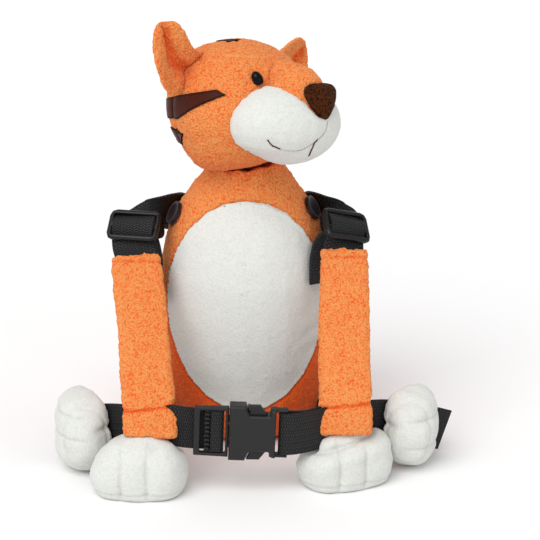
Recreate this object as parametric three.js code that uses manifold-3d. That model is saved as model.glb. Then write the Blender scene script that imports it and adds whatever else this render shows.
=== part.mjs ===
// A plush tiger harness backpack for a toddler: a stuffed body and head, arms that are shoulder
// straps, and a webbing belt that closes on a buckle in front of the belly.
// Millimetres, +Z up, +X to the right and -Y to the front. The origin is the middle of the flat
// base that the body stands on.
import * as THREE from 'three';
import { mergeVertices } from 'three/addons/utils/BufferGeometryUtils.js';
import Module from 'manifold-3d';

const wasm = await Module();
wasm.setup();

const GAP = 0.3;
const FLOOR_GAP = 0.3;
const degrees = THREE.MathUtils.degToRad;

// Body
const TORSO_HEIGHT = 184;
const TORSO_WIDTH = 102;
const TORSO_DEPTH = 98;
const BELLY_WIDTH = 95;
const BELLY_HEIGHT = 127;
const BELLY_SHIFT = 1;
const BELLY_RISE = 88.5;
const PANEL_THICKNESS = 2;

// Head. Places on it are in its own frame: x to the side, -y ahead and z up.
const HEAD_PLACE = [-3.6, -8, 207];
const HEAD_TURN = degrees(48);
const HEAD_TILT = degrees(8);
const HEAD_WIDTH = 87;
const HEAD_DEPTH = 82;
const HEAD_HEIGHT = 77;
const MUZZLE_WIDTH = 74;
const MUZZLE_DEPTH = 60;
const MUZZLE_HEIGHT = 49;
const MUZZLE_SUNK = 4;
const MUZZLE_DROP = 6;
const BRIDGE_WIDTH = 34;
const BRIDGE_DEPTH = 68;
const BRIDGE_HEIGHT = 46;
const BRIDGE_SUNK = 11;
const BRIDGE_RISE = 6;
const NOSE_WIDTH = 26;
const NOSE_HEIGHT = 21;
const NOSE_THICKNESS = 11;
const NOSE_SUNK = 3.5;
const NOSE_RISE = 9.5;
const NOSE_LEAN = degrees(24);
const EYE_WIDTH = 8.8;
const EYE_DEPTH = 6;
const EYE_HEIGHT = 9.6;
const EYE_SIDE = 18;
const EYE_RISE = 18;
const EAR_WIDTH = 36;
const EAR_LENGTH = 40;
const EAR_THICKNESS = 6;
const EAR_CUP = 7;
const EAR_SUNK = 10.5;
const EAR_BACK = 9;
const EAR_SPLAY = degrees(60);
const STRIPE_THICKNESS = 1;

// What stands on the head, from how far it is sunk in
const MUZZLE_AHEAD = HEAD_DEPTH / 2 - MUZZLE_SUNK;
const BRIDGE_AHEAD = HEAD_DEPTH / 2 - BRIDGE_SUNK;
const NOSE_AHEAD = MUZZLE_AHEAD + MUZZLE_DEPTH / 2 - NOSE_SUNK;
const EAR_SIDE = HEAD_WIDTH / 2 - EAR_SUNK;

// Webbing, sliders and sleeves
const WEBBING_WIDTH = 25;
const WEBBING_THICKNESS = 1.8;
const SLIDER_WIDTH = 31;
const SLIDER_LENGTH = 20;
const SLIDER_THICKNESS = 3.2;
const SLIDER_RAIL = 2.6;
const SLIDER_BAR = 3;
const SLIDER_CORNER = 4;
const SLIDER_BEVEL = 0.9;
const SLEEVE_WIDTH = 31;
const SLEEVE_THICKNESS = 8;
const DISC_DIAMETER = 15;
const DISC_THICKNESS = 2.5;
const DISC_SEAT = 1.75;
const DISC_TURN = degrees(28);
const DISC_LEAN = degrees(16);

// Paws at the ends of the arms, and feet on the belt
const PAW_WIDTH = 57;
const PAW_LENGTH = 40;
const PAW_HEIGHT = 36;
const FOOT_WIDTH = 50;
const FOOT_LENGTH = 38;
const FOOT_HEIGHT = 34;
const TOE_GROOVE = 2.4;

// Buckle. Places on it are in its own frame: x from the joint of its halves, y back and z up.
const BUCKLE_PLACE = [-8, -108, 39.3];
const BUCKLE_LEAN = degrees(2.2);
const BUCKLE_HEIGHT = 33;
const BUCKLE_THICKNESS = 10;
const BUCKLE_END_HEIGHT = 29.4;
const BUCKLE_BEVEL = 1;
const HOUSING_LENGTH = 26.5;
const HOUSING_WALL = 2.6;
const END_LENGTH = 6.9;
const MALE_LENGTH = 20;
const WINDOW_FROM = 9.2;
const WINDOW_MARGIN = 2.5;
const WINDOW_DEPTH = 5.6;
const WINDOW_SLANT = 2.4;
const ARM_FRONT = 2.3;
const ARM_BACK = 0.9;
const ARM_WIDTH = 4;
const ARM_SLOPE = 1;
const ARM_ROOT = 1;
const TONGUE_LENGTH = 14;
const TONGUE_WIDTH = 6.4;
const SLOT_HEIGHT = 26;
const BAR_WIDTH = 3.4;
const FRAME_FRONT = 3;
const FRAME_BACK = 1;
const FRAME_BEVEL = 0.5;
const TEETH = 9;
const TOOTH_LENGTH = 3;

// What follows from the buckle's sizes
const FEMALE_LENGTH = HOUSING_LENGTH + END_LENGTH;
const WINDOW_TO = HOUSING_LENGTH - WINDOW_MARGIN;

const COLOURS = {
  orange: 0xe8763a, white: 0xebebe6, brown: 0x4b1c14, nose: 0x4b2d14,
  black: 0x111114, gloss: 0x141414, buckle: 0x2d2d2d, eye: 0x0a0a0a,
};

// Each side's own places: the strap over the shoulder from the body's back, the slider with the
// directions across it and up it, the sleeve, the strap's bend before the slider and its loose end,
// and where the paws stand. What rises and climbs on the body does so by shares of its height.
const SIDES = [
  {
    name: 'left', sign: -1,
    earRise: 18,
    shoulder: { angle: 128, turn: 40, rise: 0.685, climb: 0.049 },
    slider: [-65.5, -21, 134.5], across: [1, -0.2, 0], up: [0.15, 0.72, 0.68],
    sleeve: [[-64, -31, 119], [-60.5, -57, 94], [-57.5, -84, 69], [-55.5, -101, 50], [-54.5, -107, 33]],
    bend: [-56, -3, 133],
    tail: [[-60.5, -16.5, 124], [-58.8, -19, 112], [-58.8, -20.5, 100], [-58.8, -21, 87]],
    tailAcross: [0.8, -0.6, 0],
    disc: { angle: 194, rise: 0.7555 },
    paw: { place: [-60, -104], turn: 3 },
    foot: { place: [-92, -76], turn: 12 },
  },
  {
    name: 'right', sign: 1,
    earRise: 12,
    shoulder: { angle: 52, turn: -40, rise: 0.69, climb: 0.049 },
    slider: [60.5, -21, 134.5], across: [0.85, 0.4, -0.33], up: [-0.16, 0.7, 0.7],
    sleeve: [[59, -30, 122], [58.5, -56, 95], [58.5, -80, 69], [59, -96, 50], [59.5, -100, 33]],
    bend: [53.5, -3.5, 133],
    tail: [[52, -18.5, 124], [49.2, -22, 116], [48.6, -24.5, 109], [48.6, -25.5, 100.7]],
    tailAcross: [0.77, 0.64, 0],
    disc: { angle: -12, rise: 0.7717 },
    paw: { place: [59, -90], turn: -22 },
    foot: { place: [96, -70], turn: -12 },
  },
];

// Tables of sections and outlines. All their numbers are shares of the sizes named beside them.

// Body: share of TORSO_HEIGHT, TORSO_WIDTH / 2 and TORSO_DEPTH / 2
const TORSO_SECTIONS = [
  [0, 0.62, 0.6], [0.02, 0.76, 0.74], [0.06, 0.86, 0.84], [0.14, 0.94, 0.93],
  [0.26, 0.985, 0.99], [0.42, 1, 1], [0.55, 0.995, 0.97], [0.64, 0.955, 0.9],
  [0.71, 0.895, 0.815], [0.765, 0.8, 0.725], [0.81, 0.685, 0.635], [0.85, 0.585, 0.565],
  [0.885, 0.525, 0.52], [1, 0.5, 0.49],
];

// Nose: share of NOSE_HEIGHT from below, NOSE_WIDTH and NOSE_THICKNESS
const NOSE_SECTIONS = [
  [0, 0.1, 0.3], [0.12, 0.3, 0.62], [0.33, 0.62, 0.9], [0.58, 0.88, 1],
  [0.78, 1, 0.96], [0.93, 0.88, 0.72], [1, 0.55, 0.35],
];

// Ear: share of EAR_LENGTH, EAR_WIDTH and EAR_THICKNESS
const EAR_SECTIONS = [
  [0, 0.8, 1], [0.18, 0.92, 1], [0.38, 1, 1], [0.58, 0.97, 0.95],
  [0.76, 0.82, 0.85], [0.9, 0.55, 0.7], [1, 0.2, 0.35],
];

// Paw and foot: share of the height and of the spread
const PAW_SECTIONS = [
  [0, 0.84], [0.12, 0.95], [0.36, 1], [0.62, 0.93], [0.85, 0.68], [1, 0.22],
];

// Stripes, as shares of half the head: how far ahead and how far up each corner lies
const UPPER_STRIPE = [[0.56, 0.22], [0.42, 0.28], [-0.6, -0.02], [-0.62, -0.33], [-0.2, -0.27]];
const LOWER_STRIPE = [[-0.1, -0.5], [-0.55, -0.47], [-0.58, -0.66], [-0.3, -0.72]];
const CROWN_STRIPE = [[0.2, -0.12], [0.12, -0.28], [0, -0.62], [-0.12, -0.28], [-0.2, -0.12]];

// How many places of the belt, from the last of these tables' routes towards the buckle, the paws
// are seated against, and how finely
const BEHIND_FROM = 3;
const BEHIND_STEPS = 16;

// Belt: places of its middle line from the buckle to its end beyond the foot, for each side
const BELT_ROUTES = {
  left: [[-56, -96, 37], [-73, -83.5, 33], [-89, -66, 25], [-100, -54, 18], [-107, -48, 14.5]],
  right: [[59, -90.5, 36.5], [77, -77, 33], [96, -60.5, 25], [111, -50.5, 18], [120, -46, 14]],
};

// Hip straps: places of the middle line from the belt behind the foot to the body's side
const HIP_ROUTES = {
  left: [[-97.4, -52, 15], [-91.4, -58, 15], [-85, -57, 15], [-77, -47, 14], [-64, -30, 13.2]],
  right: [[108.6, -47.9, 15], [101, -53, 15], [94, -54, 15], [84, -47, 14], [67, -30, 13.2]],
};
const HIP_RISE = 13.2;

// How finely the curved pieces are divided
const RING_POINTS = 24;
const PAW_POINTS = 22;
const EAR_POINTS = 16;
const NOSE_POINTS = 14;
const DISC_POINTS = 20;
const SOFT_POINTS = 10;
const HEAD_GRID = [24, 14];
const MUZZLE_GRID = [22, 12];
const BRIDGE_GRID = [14, 10];
const EYE_GRID = [12, 8];
const STRAP_STEPS = 28;
const TAIL_STEPS = 12;
const SLEEVE_STEPS = 8;
const BELT_STEPS = 46;
const HIP_STEPS = 22;

const material = (colour, roughness) =>
  new THREE.MeshStandardMaterial({ color: colour, roughness, metalness: 0 });

const vector = (place) => new THREE.Vector3(...place);

// Turns rings of equal length into one closed body, with a fan over each end.
function closeRings(rings) {
  const count = rings[0].length;
  const points = rings.flat();
  const index = [];
  for (let ring = 0; ring + 1 < rings.length; ring += 1) {
    for (let i = 0; i < count; i += 1) {
      const a = ring * count + i;
      const b = ring * count + ((i + 1) % count);
      index.push(a, b, b + count, a, b + count, a + count);
    }
  }
  for (const [ring, flip] of [[0, true], [rings.length - 1, false]]) {
    const middle = new THREE.Vector3();
    rings[ring].forEach((point) => middle.addScaledVector(point, 1 / count));
    points.push(middle);
    for (let i = 0; i < count; i += 1) {
      const a = ring * count + i;
      const b = ring * count + ((i + 1) % count);
      index.push(...(flip ? [b, a, points.length - 1] : [a, b, points.length - 1]));
    }
  }
  const geometry = new THREE.BufferGeometry().setFromPoints(points);
  geometry.setIndex(signedVolume(points, index) < 0 ? index.reverse() : index);
  return geometry;
}

function signedVolume(points, index) {
  let sum = 0;
  for (let i = 0; i < index.length; i += 3) {
    const [a, b, c] = [points[index[i]], points[index[i + 1]], points[index[i + 2]]];
    sum += a.dot(new THREE.Vector3().crossVectors(b, c));
  }
  return sum / 6;
}

// Solids for joining and cutting
function solid(geometry) {
  const plain = geometry.index ? geometry.clone() : geometry;
  plain.deleteAttribute('normal');
  plain.deleteAttribute('uv');
  const welded = mergeVertices(plain, 1e-4);
  return new wasm.Manifold(new wasm.Mesh({
    numProp: 3,
    vertProperties: Float32Array.from(welded.attributes.position.array),
    triVerts: Uint32Array.from(welded.index.array),
  }));
}

function geometryOf(body) {
  const mesh = body.getMesh();
  const geometry = new THREE.BufferGeometry();
  geometry.setAttribute('position', new THREE.BufferAttribute(mesh.vertProperties, 3));
  geometry.setIndex(new THREE.BufferAttribute(mesh.triVerts, 1));
  return geometry;
}

// An outline in x and z, given depth from one y to another
function plate(outline, fromY, toY, bevel = 0) {
  const shape = new THREE.Shape(outline.map(([x, z]) => new THREE.Vector2(x, z)));
  const geometry = new THREE.ExtrudeGeometry(shape, {
    depth: toY - fromY - 2 * bevel, bevelEnabled: bevel > 0, bevelThickness: bevel,
    bevelSize: bevel, bevelOffset: -bevel, bevelSegments: 1,
  });
  return geometry.rotateX(Math.PI / 2).translate(0, toY - bevel, 0);
}

function block([x0, x1], [y0, y1], [z0, z1]) {
  return new THREE.BoxGeometry(x1 - x0, y1 - y0, z1 - z0)
    .translate((x0 + x1) / 2, (y0 + y1) / 2, (z0 + z1) / 2);
}

function ellipsoid(width, depth, height, [columns, rows]) {
  return new THREE.SphereGeometry(1, columns, rows).rotateX(Math.PI / 2)
    .scale(width / 2, depth / 2, height / 2);
}

function oval(width, height, count) {
  return Array.from({ length: count }, (_, i) => {
    const angle = (2 * Math.PI * i) / count;
    return [(width / 2) * Math.cos(angle), (height / 2) * Math.sin(angle)];
  });
}

// A ribbon of webbing, or a flat sleeve, along a smooth line. The across directions go with the
// points, the section is given as shares of half the width and half the thickness, and grow adds
// clearance on every side and at both ends.
const SQUARE_SECTION = [[-1, -1], [1, -1], [1, 1], [-1, 1]];
const SOFT_SECTION = Array.from({ length: SOFT_POINTS }, (_, i) => {
  const angle = (2 * Math.PI * (i + 0.5)) / SOFT_POINTS;
  const soften = (value, power) => Math.sign(value) * Math.abs(value) ** power;
  return [soften(Math.cos(angle), 0.45), soften(Math.sin(angle), 0.8)];
});

function ribbonRings({ points, across, width, thickness, steps, grow, section = SQUARE_SECTION }) {
  const line = new THREE.CatmullRomCurve3(points.map(vector));
  const sides = new THREE.CatmullRomCurve3(across.map(vector));
  const rings = [];
  for (let step = 0; step <= steps; step += 1) {
    const t = step / steps;
    const along = line.getTangent(t);
    const past = { 0: -grow, [steps]: grow }[step] ?? 0;
    const middle = line.getPoint(t).addScaledVector(along, past);
    const out = new THREE.Vector3().crossVectors(along, sides.getPoint(t)).normalize();
    const side = new THREE.Vector3().crossVectors(out, along).normalize();
    rings.push(section.map(([a, b]) => middle.clone()
      .addScaledVector(side, a * (width / 2 + grow))
      .addScaledVector(out, b * (thickness / 2 + grow))));
  }
  return rings;
}

// Webbing, or the space that it needs, which is joined stretch by stretch to stay sound in bends
function webbing(route, grow) {
  const rings = ribbonRings({ ...route, width: WEBBING_WIDTH, thickness: WEBBING_THICKNESS, grow });
  if (grow === 0) {
    return solid(closeRings(rings));
  }
  return rings.slice(1).map((ring, i) => solid(closeRings([rings[i], ring])))
    .reduce((space, stretch) => space.add(stretch));
}

// Body

function torsoSection(rise) {
  const share = THREE.MathUtils.clamp(rise / TORSO_HEIGHT, 0, 1);
  const top = Math.max(1, TORSO_SECTIONS.findIndex(([height]) => height >= share));
  const [low, high] = [TORSO_SECTIONS[top - 1], TORSO_SECTIONS[top]];
  const t = (share - low[0]) / (high[0] - low[0]);
  return [
    (TORSO_WIDTH / 2) * THREE.MathUtils.lerp(low[1], high[1], t),
    (TORSO_DEPTH / 2) * THREE.MathUtils.lerp(low[2], high[2], t),
  ];
}

// A place on the body's skin, at an angle counted from +X towards the back
function onTorso(angle, rise, out) {
  const [halfWidth, halfDepth] = torsoSection(rise);
  return new THREE.Vector3(
    (halfWidth + out) * Math.cos(degrees(angle)), (halfDepth + out) * Math.sin(degrees(angle)), rise);
}

function torsoShape(inset) {
  return closeRings(TORSO_SECTIONS.map(([height, width, depth]) => {
    const ring = oval(TORSO_WIDTH * width - 2 * inset, TORSO_DEPTH * depth - 2 * inset, RING_POINTS);
    const rise = inset + (TORSO_HEIGHT - 2 * inset) * height;
    return ring.map(([x, y]) => new THREE.Vector3(x, y, rise));
  }));
}

function bellyPrism(grow) {
  const outline = oval(BELLY_WIDTH + 2 * grow, BELLY_HEIGHT + 2 * grow, RING_POINTS)
    .map(([x, z]) => [x + BELLY_SHIFT, z + BELLY_RISE]);
  return solid(plate(outline, -TORSO_DEPTH, 0));
}

function makeTorso() {
  const recess = bellyPrism(GAP).subtract(solid(torsoShape(PANEL_THICKNESS + GAP)));
  const head = solid(headShape(GAP).applyMatrix4(headFrame));
  const muzzle = solid(muzzleShape(GAP).applyMatrix4(headFrame));
  return solid(torsoShape(0)).subtract(recess).subtract(head).subtract(muzzle);
}

function makeBelly() {
  return solid(torsoShape(0)).intersect(bellyPrism(0)).subtract(solid(torsoShape(PANEL_THICKNESS)));
}

// Head, in its own frame

const headShape = (grow) =>
  ellipsoid(HEAD_WIDTH + 2 * grow, HEAD_DEPTH + 2 * grow, HEAD_HEIGHT + 2 * grow, HEAD_GRID);

const muzzleShape = (grow) =>
  ellipsoid(MUZZLE_WIDTH + 2 * grow, MUZZLE_DEPTH + 2 * grow, MUZZLE_HEIGHT + 2 * grow, MUZZLE_GRID)
    .translate(0, -MUZZLE_AHEAD, -MUZZLE_DROP);

const bridgeShape = (grow) =>
  ellipsoid(BRIDGE_WIDTH + 2 * grow, BRIDGE_DEPTH + 2 * grow, BRIDGE_HEIGHT + 2 * grow, BRIDGE_GRID)
    .translate(0, -BRIDGE_AHEAD, BRIDGE_RISE);

function noseShape(grow) {
  const rings = NOSE_SECTIONS.map(([height, width, thickness]) =>
    oval(NOSE_WIDTH * width + 2 * grow, NOSE_THICKNESS * thickness + 2 * grow, NOSE_POINTS)
      .map(([x, y]) => new THREE.Vector3(x, y, (height - 0.5) * (NOSE_HEIGHT + 2 * grow))));
  return closeRings(rings).rotateX(-NOSE_LEAN).translate(0, -NOSE_AHEAD, NOSE_RISE);
}

function earShape({ sign, earRise }, grow) {
  const rings = EAR_SECTIONS.map(([height, width, thickness]) =>
    oval(EAR_WIDTH * width + 2 * grow, EAR_THICKNESS * thickness + 2 * grow, EAR_POINTS).map(([x, y]) => {
      const curl = EAR_CUP * (x / (EAR_WIDTH / 2)) ** 2;
      return new THREE.Vector3(x, y - curl, height * EAR_LENGTH);
    }));
  return closeRings(rings).rotateY(sign * EAR_SPLAY).translate(sign * EAR_SIDE, EAR_BACK, earRise);
}

function eyeShape(sign) {
  const across = EYE_SIDE / (HEAD_WIDTH / 2);
  const rise = EYE_RISE / (HEAD_HEIGHT / 2);
  const ahead = (HEAD_DEPTH / 2) * Math.sqrt(1 - across ** 2 - rise ** 2);
  return ellipsoid(EYE_WIDTH, EYE_DEPTH, EYE_HEIGHT, EYE_GRID)
    .rotateX(-Math.asin(rise)).rotateZ(sign * Math.asin(across))
    .translate(sign * EYE_SIDE, -ahead, EYE_RISE);
}

// A patch of satin that follows the head's curve inside a prism, down to the neck's seam
function stripe(prism) {
  const neck = solid(torsoShape(-GAP).applyMatrix4(headFrame.clone().invert()));
  const skin = solid(headShape(GAP + STRIPE_THICKNESS)).subtract(solid(headShape(GAP)));
  return skin.intersect(solid(prism)).subtract(neck);
}

function cheekPrism(outline, sign) {
  const corners = outline.map(([ahead, up]) => [-ahead * (HEAD_DEPTH / 2), up * (HEAD_HEIGHT / 2)]);
  const span = sign > 0 ? [-HEAD_WIDTH, 0] : [0, HEAD_WIDTH];
  return plate(corners, ...span).rotateZ(Math.PI / 2);
}

function crownPrism(outline) {
  const corners = outline.map(([side, ahead]) => [side * (HEAD_WIDTH / 2), -ahead * (HEAD_DEPTH / 2)]);
  return plate(corners, -HEAD_HEIGHT, 0).rotateX(-Math.PI / 2);
}

// Straps, sliders and sleeves

function roundedBox(width, height, radius) {
  const corners = [[1, 1, 0], [-1, 1, 90], [-1, -1, 180], [1, -1, 270]];
  return corners.flatMap(([x, z, from]) => [0, 45, 90].map((angle) => [
    x * (width / 2 - radius) + radius * Math.cos(degrees(from + angle)),
    z * (height / 2 - radius) + radius * Math.sin(degrees(from + angle)),
  ]));
}

// The slider's own frame: x across the strap, y back, z up the strap
function sliderFrame(side) {
  const up = vector(side.up).normalize();
  const out = new THREE.Vector3().crossVectors(vector(side.across), up).normalize();
  const across = new THREE.Vector3().crossVectors(up, out);
  return new THREE.Matrix4().makeBasis(across, out.negate(), up).setPosition(vector(side.slider));
}

function sliderShape() {
  const outline = roundedBox(SLIDER_WIDTH, SLIDER_LENGTH, SLIDER_CORNER);
  const slotWidth = WEBBING_WIDTH / 2 + 2 * GAP;
  const frame = solid(plate(outline, -SLIDER_THICKNESS / 2, SLIDER_THICKNESS / 2, SLIDER_BEVEL));
  const slot = [SLIDER_BAR / 2, SLIDER_LENGTH / 2 - SLIDER_RAIL];
  const through = [-SLIDER_THICKNESS, SLIDER_THICKNESS];
  const above = solid(block([-slotWidth, slotWidth], through, slot));
  const below = solid(block([-slotWidth, slotWidth], through, slot.map((z) => -z).reverse()));
  return frame.subtract(above).subtract(below);
}

const WEBBING_OFFSET = SLIDER_THICKNESS / 2 + GAP + WEBBING_THICKNESS / 2;
const RAIL_MIDDLE = SLIDER_LENGTH / 2 - SLIDER_RAIL / 2;

// How far the strap stands off the body on its back, how much more in front of the shoulder, and
// the height either way over which it takes the body's slope
const SHOULDER_SEAT = 0.8;
const SHOULDER_LIFT = 2.5;
const SLOPE_REACH = 8;

// Where the strap passes along the sleeve. It ends above the belt.
const STRAP_SHARES = [0, 0.165, 0.33, 0.495, 0.66];

// One length of webbing: from the body's back over the shoulder, through the slider and down
// inside the sleeve
function strapRoute(side) {
  const frame = sliderFrame(side);
  const onSlider = (y, z) => new THREE.Vector3(0, y, z).applyMatrix4(frame).toArray();
  const sliderAcross = new THREE.Vector3().setFromMatrixColumn(frame, 0).toArray();
  const { angle, turn, rise, climb } = side.shoulder;
  const route = [0, 0.5, 1].map((share) => {
    const off = WEBBING_THICKNESS / 2 + SHOULDER_SEAT + SHOULDER_LIFT * share;
    const seat = TORSO_HEIGHT * (rise + climb * share);
    const place = (height) => onTorso(angle + turn * share, seat + height, off);
    const down = place(SLOPE_REACH).sub(place(-SLOPE_REACH)).normalize().multiplyScalar(side.sign);
    return { point: place(0).toArray(), across: down.toArray() };
  });
  const turning = vector(route[2].across).add(vector(sliderAcross)).normalize();
  route.push({ point: side.bend, across: turning.toArray() });
  for (const [y, z] of [[1, RAIL_MIDDLE], [-1, 0], [1, -RAIL_MIDDLE]]) {
    route.push({ point: onSlider(y * WEBBING_OFFSET, z), across: sliderAcross });
  }
  const inSleeve = new THREE.CatmullRomCurve3(side.sleeve.map(vector));
  for (const share of STRAP_SHARES) {
    route.push({ point: inSleeve.getPoint(share).toArray(), across: [1, 0, 0] });
  }
  return { points: route.map(({ point }) => point), across: route.map(({ across }) => across) };
}

function strapShape(side, grow) {
  return webbing({ ...strapRoute(side), steps: STRAP_STEPS }, grow);
}

// The loose end: out behind the slider, under the strap, and down
function tailShape(side, grow) {
  const frame = sliderFrame(side);
  const under = WEBBING_OFFSET + WEBBING_THICKNESS + GAP;
  const start = new THREE.Vector3(0, under, 0).applyMatrix4(frame).toArray();
  const across = new THREE.Vector3().setFromMatrixColumn(frame, 0).toArray();
  return webbing({
    points: [start, ...side.tail], across: [across, ...side.tail.map(() => side.tailAcross)],
    steps: TAIL_STEPS,
  }, grow);
}

function sleeveShape(side) {
  return closeRings(ribbonRings({
    points: side.sleeve, across: side.sleeve.map(() => [1, 0, 0]), width: SLEEVE_WIDTH,
    thickness: SLEEVE_THICKNESS, steps: SLEEVE_STEPS, grow: 0, section: SOFT_SECTION,
  }));
}

function discShape(side) {
  const seat = onTorso(side.disc.angle, TORSO_HEIGHT * side.disc.rise, GAP + DISC_SEAT);
  return new THREE.CylinderGeometry(DISC_DIAMETER / 2, DISC_DIAMETER / 2, DISC_THICKNESS, DISC_POINTS)
    .rotateZ(Math.PI / 2).rotateY(-side.sign * DISC_TURN).rotateZ(-side.sign * DISC_LEAN)
    .translate(seat.x, seat.y, seat.z);
}

// Paws and feet

function pawShape({ width, length, height }, grow) {
  const soften = (value) => Math.sign(value) * Math.abs(value) ** 0.8;
  const rings = PAW_SECTIONS.map(([rise, spread]) =>
    Array.from({ length: PAW_POINTS }, (_, i) => {
      const angle = (2 * Math.PI * i) / PAW_POINTS;
      const x = soften(Math.cos(angle)) * (width / 2) * spread;
      const reach = soften(Math.sin(angle)) * (length / 2) * spread;
      const groove = TOE_GROOVE * (1 - Math.abs(Math.cos((3 * Math.PI * x) / width)) ** 0.7);
      const y = reach < 0 ? reach + groove * Math.min(1, -reach / (length / 4)) : reach;
      const size = (half) => 1 + grow / half;
      return new THREE.Vector3(x * size(width / 2), y * size(length / 2), rise * (height + 2 * grow) - grow);
    }));
  return closeRings(rings);
}

function frontPaw(side, grow) {
  const { place: [x, y], turn } = side.paw;
  return pawShape({ width: PAW_WIDTH, length: PAW_LENGTH, height: PAW_HEIGHT }, grow)
    .rotateZ(-degrees(turn)).translate(x, y, 0);
}

// A foot stands on its edge, with its toes outwards and its sole to the belt
function beltFoot(side) {
  const { place: [x, y], turn } = side.foot;
  const stand = new THREE.Matrix4().makeBasis(
    new THREE.Vector3(0, 0, side.sign), new THREE.Vector3(-side.sign, 0, 0), new THREE.Vector3(0, -1, 0));
  return pawShape({ width: FOOT_WIDTH, length: FOOT_LENGTH, height: FOOT_HEIGHT }, 0)
    .translate(0, 0, -FOOT_HEIGHT / 2).applyMatrix4(stand).rotateZ(degrees(turn))
    .translate(x, y, FOOT_WIDTH / 2 + FLOOR_GAP);
}

// Buckle and belt

const buckleFrame = new THREE.Matrix4().makeRotationY(BUCKLE_LEAN).setPosition(vector(BUCKLE_PLACE));
const onBuckle = ([x, y]) => new THREE.Vector3(x, y, 0).applyMatrix4(buckleFrame).toArray();
const buckleUp = new THREE.Vector3(0, 0, 1).transformDirection(buckleFrame).toArray();

const CENTRE_BAR = { from: -14, to: -5.8, front: 0.8, back: FRAME_BACK };
const END_BAR = { from: FEMALE_LENGTH - BAR_WIDTH, depth: 1.5 };

// Webbing in the buckle's frame, as x and y. On the left it comes from behind, turns round the
// middle bar and ends on it. On the right its end lies on itself, folded round the end bar.
const layerBack = FRAME_BACK + GAP + WEBBING_THICKNESS / 2;
const layerFront = -(CENTRE_BAR.front + GAP + WEBBING_THICKNESS / 2);
const barTurn = (layerBack - layerFront) / 2;
const barMiddle = (layerBack + layerFront) / 2;
const LEFT_WEBBING = [
  [-32, layerBack + 2.4], [-26, layerBack + 0.8], [-20, layerBack], [-10, layerBack],
  [CENTRE_BAR.to, layerBack], [CENTRE_BAR.to + 0.7 * barTurn, barMiddle + 0.7 * barTurn],
  [CENTRE_BAR.to + barTurn, barMiddle], [CENTRE_BAR.to + 0.7 * barTurn, barMiddle - 0.7 * barTurn],
  [CENTRE_BAR.to, layerFront], [-10.3, layerFront],
];
const endTurn = END_BAR.depth + GAP + WEBBING_THICKNESS / 2;
const endMiddle = END_BAR.from + END_BAR.depth;
const foldLayer = WEBBING_THICKNESS + 3 * GAP;
const FOLD_SIDE = [0.6, -0.8];
const RIGHT_MAIN = [[42, 3.6], [49, 8.4], [57, 15]];
const RIGHT_WEBBING = [
  ...RIGHT_MAIN.map(([x, y]) => [x + FOLD_SIDE[0] * foldLayer, y + FOLD_SIDE[1] * foldLayer]).reverse(),
  [36, -0.8 * endTurn], [endMiddle, -endTurn], [endMiddle - 0.7 * endTurn, -0.7 * endTurn],
  [endMiddle - endTurn, 0], [endMiddle - 0.7 * endTurn, 0.7 * endTurn], [endMiddle, endTurn],
  [36, 0.95 * endTurn], ...RIGHT_MAIN,
];

function beltRoute(name) {
  const near = name === 'left' ? [...LEFT_WEBBING].reverse() : RIGHT_WEBBING;
  const points = [...near.map(onBuckle), ...BELT_ROUTES[name]];
  const across = [...near.map(() => buckleUp), ...BELT_ROUTES[name].map(() => [0, 0, 1])];
  return { points, across };
}

function beltShape(name, grow) {
  return webbing({ ...beltRoute(name), steps: BELT_STEPS }, grow);
}

// From the belt behind the foot to the body's side, and round to the middle of its back
function hipShape(name, grow) {
  const sign = name === 'left' ? -1 : 1;
  const off = GAP + WEBBING_THICKNESS / 2;
  const [halfWidth, halfDepth] = torsoSection(HIP_RISE + WEBBING_WIDTH / 2);
  const round = [4, 30, 60, 88].map((angle) => [
    sign * (halfWidth + off) * Math.cos(degrees(angle)),
    (halfDepth + off) * Math.sin(degrees(angle)), HIP_RISE,
  ]);
  const points = [...HIP_ROUTES[name], ...round];
  return webbing({ points, across: points.map(() => [0, 0, 1]), steps: HIP_STEPS }, grow);
}

// Everything behind the belt's front face, from a height upwards
function behindBelt(name, fromHeight) {
  const { points } = beltRoute(name);
  const line = new THREE.CatmullRomCurve3(points.map(vector));
  const last = points.length - 1;
  const from = (last - BELT_ROUTES[name].length - BEHIND_FROM) / last;
  const sign = name === 'left' ? -1 : 1;
  const edge = (depth) => Array.from({ length: BEHIND_STEPS + 1 }, (_, i) => {
    const t = THREE.MathUtils.lerp(from, 1, i / BEHIND_STEPS);
    const { x, y } = line.getPoint(t);
    const along = line.getTangent(t).setZ(0).normalize();
    return new THREE.Vector2(x - sign * along.y * depth, y + sign * along.x * depth);
  });
  const outline = [...edge(-WEBBING_THICKNESS / 2 - GAP), ...edge(PAW_LENGTH).reverse()];
  return solid(new THREE.ExtrudeGeometry(
    new THREE.Shape(outline), { depth: PAW_WIDTH, bevelEnabled: false }).translate(0, 0, fromHeight));
}

const mirrorZ = (outline) => outline.map(([x, z]) => [x, -z]).reverse();

// A cut right through the buckle from one x to another, in front of a depth or behind it
const through = [-BUCKLE_THICKNESS, BUCKLE_THICKNESS];
const buckleCut = (spanX, spanY = through) =>
  solid(block(spanX, spanY, [-SLOT_HEIGHT / 2, SLOT_HEIGHT / 2]));

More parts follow.
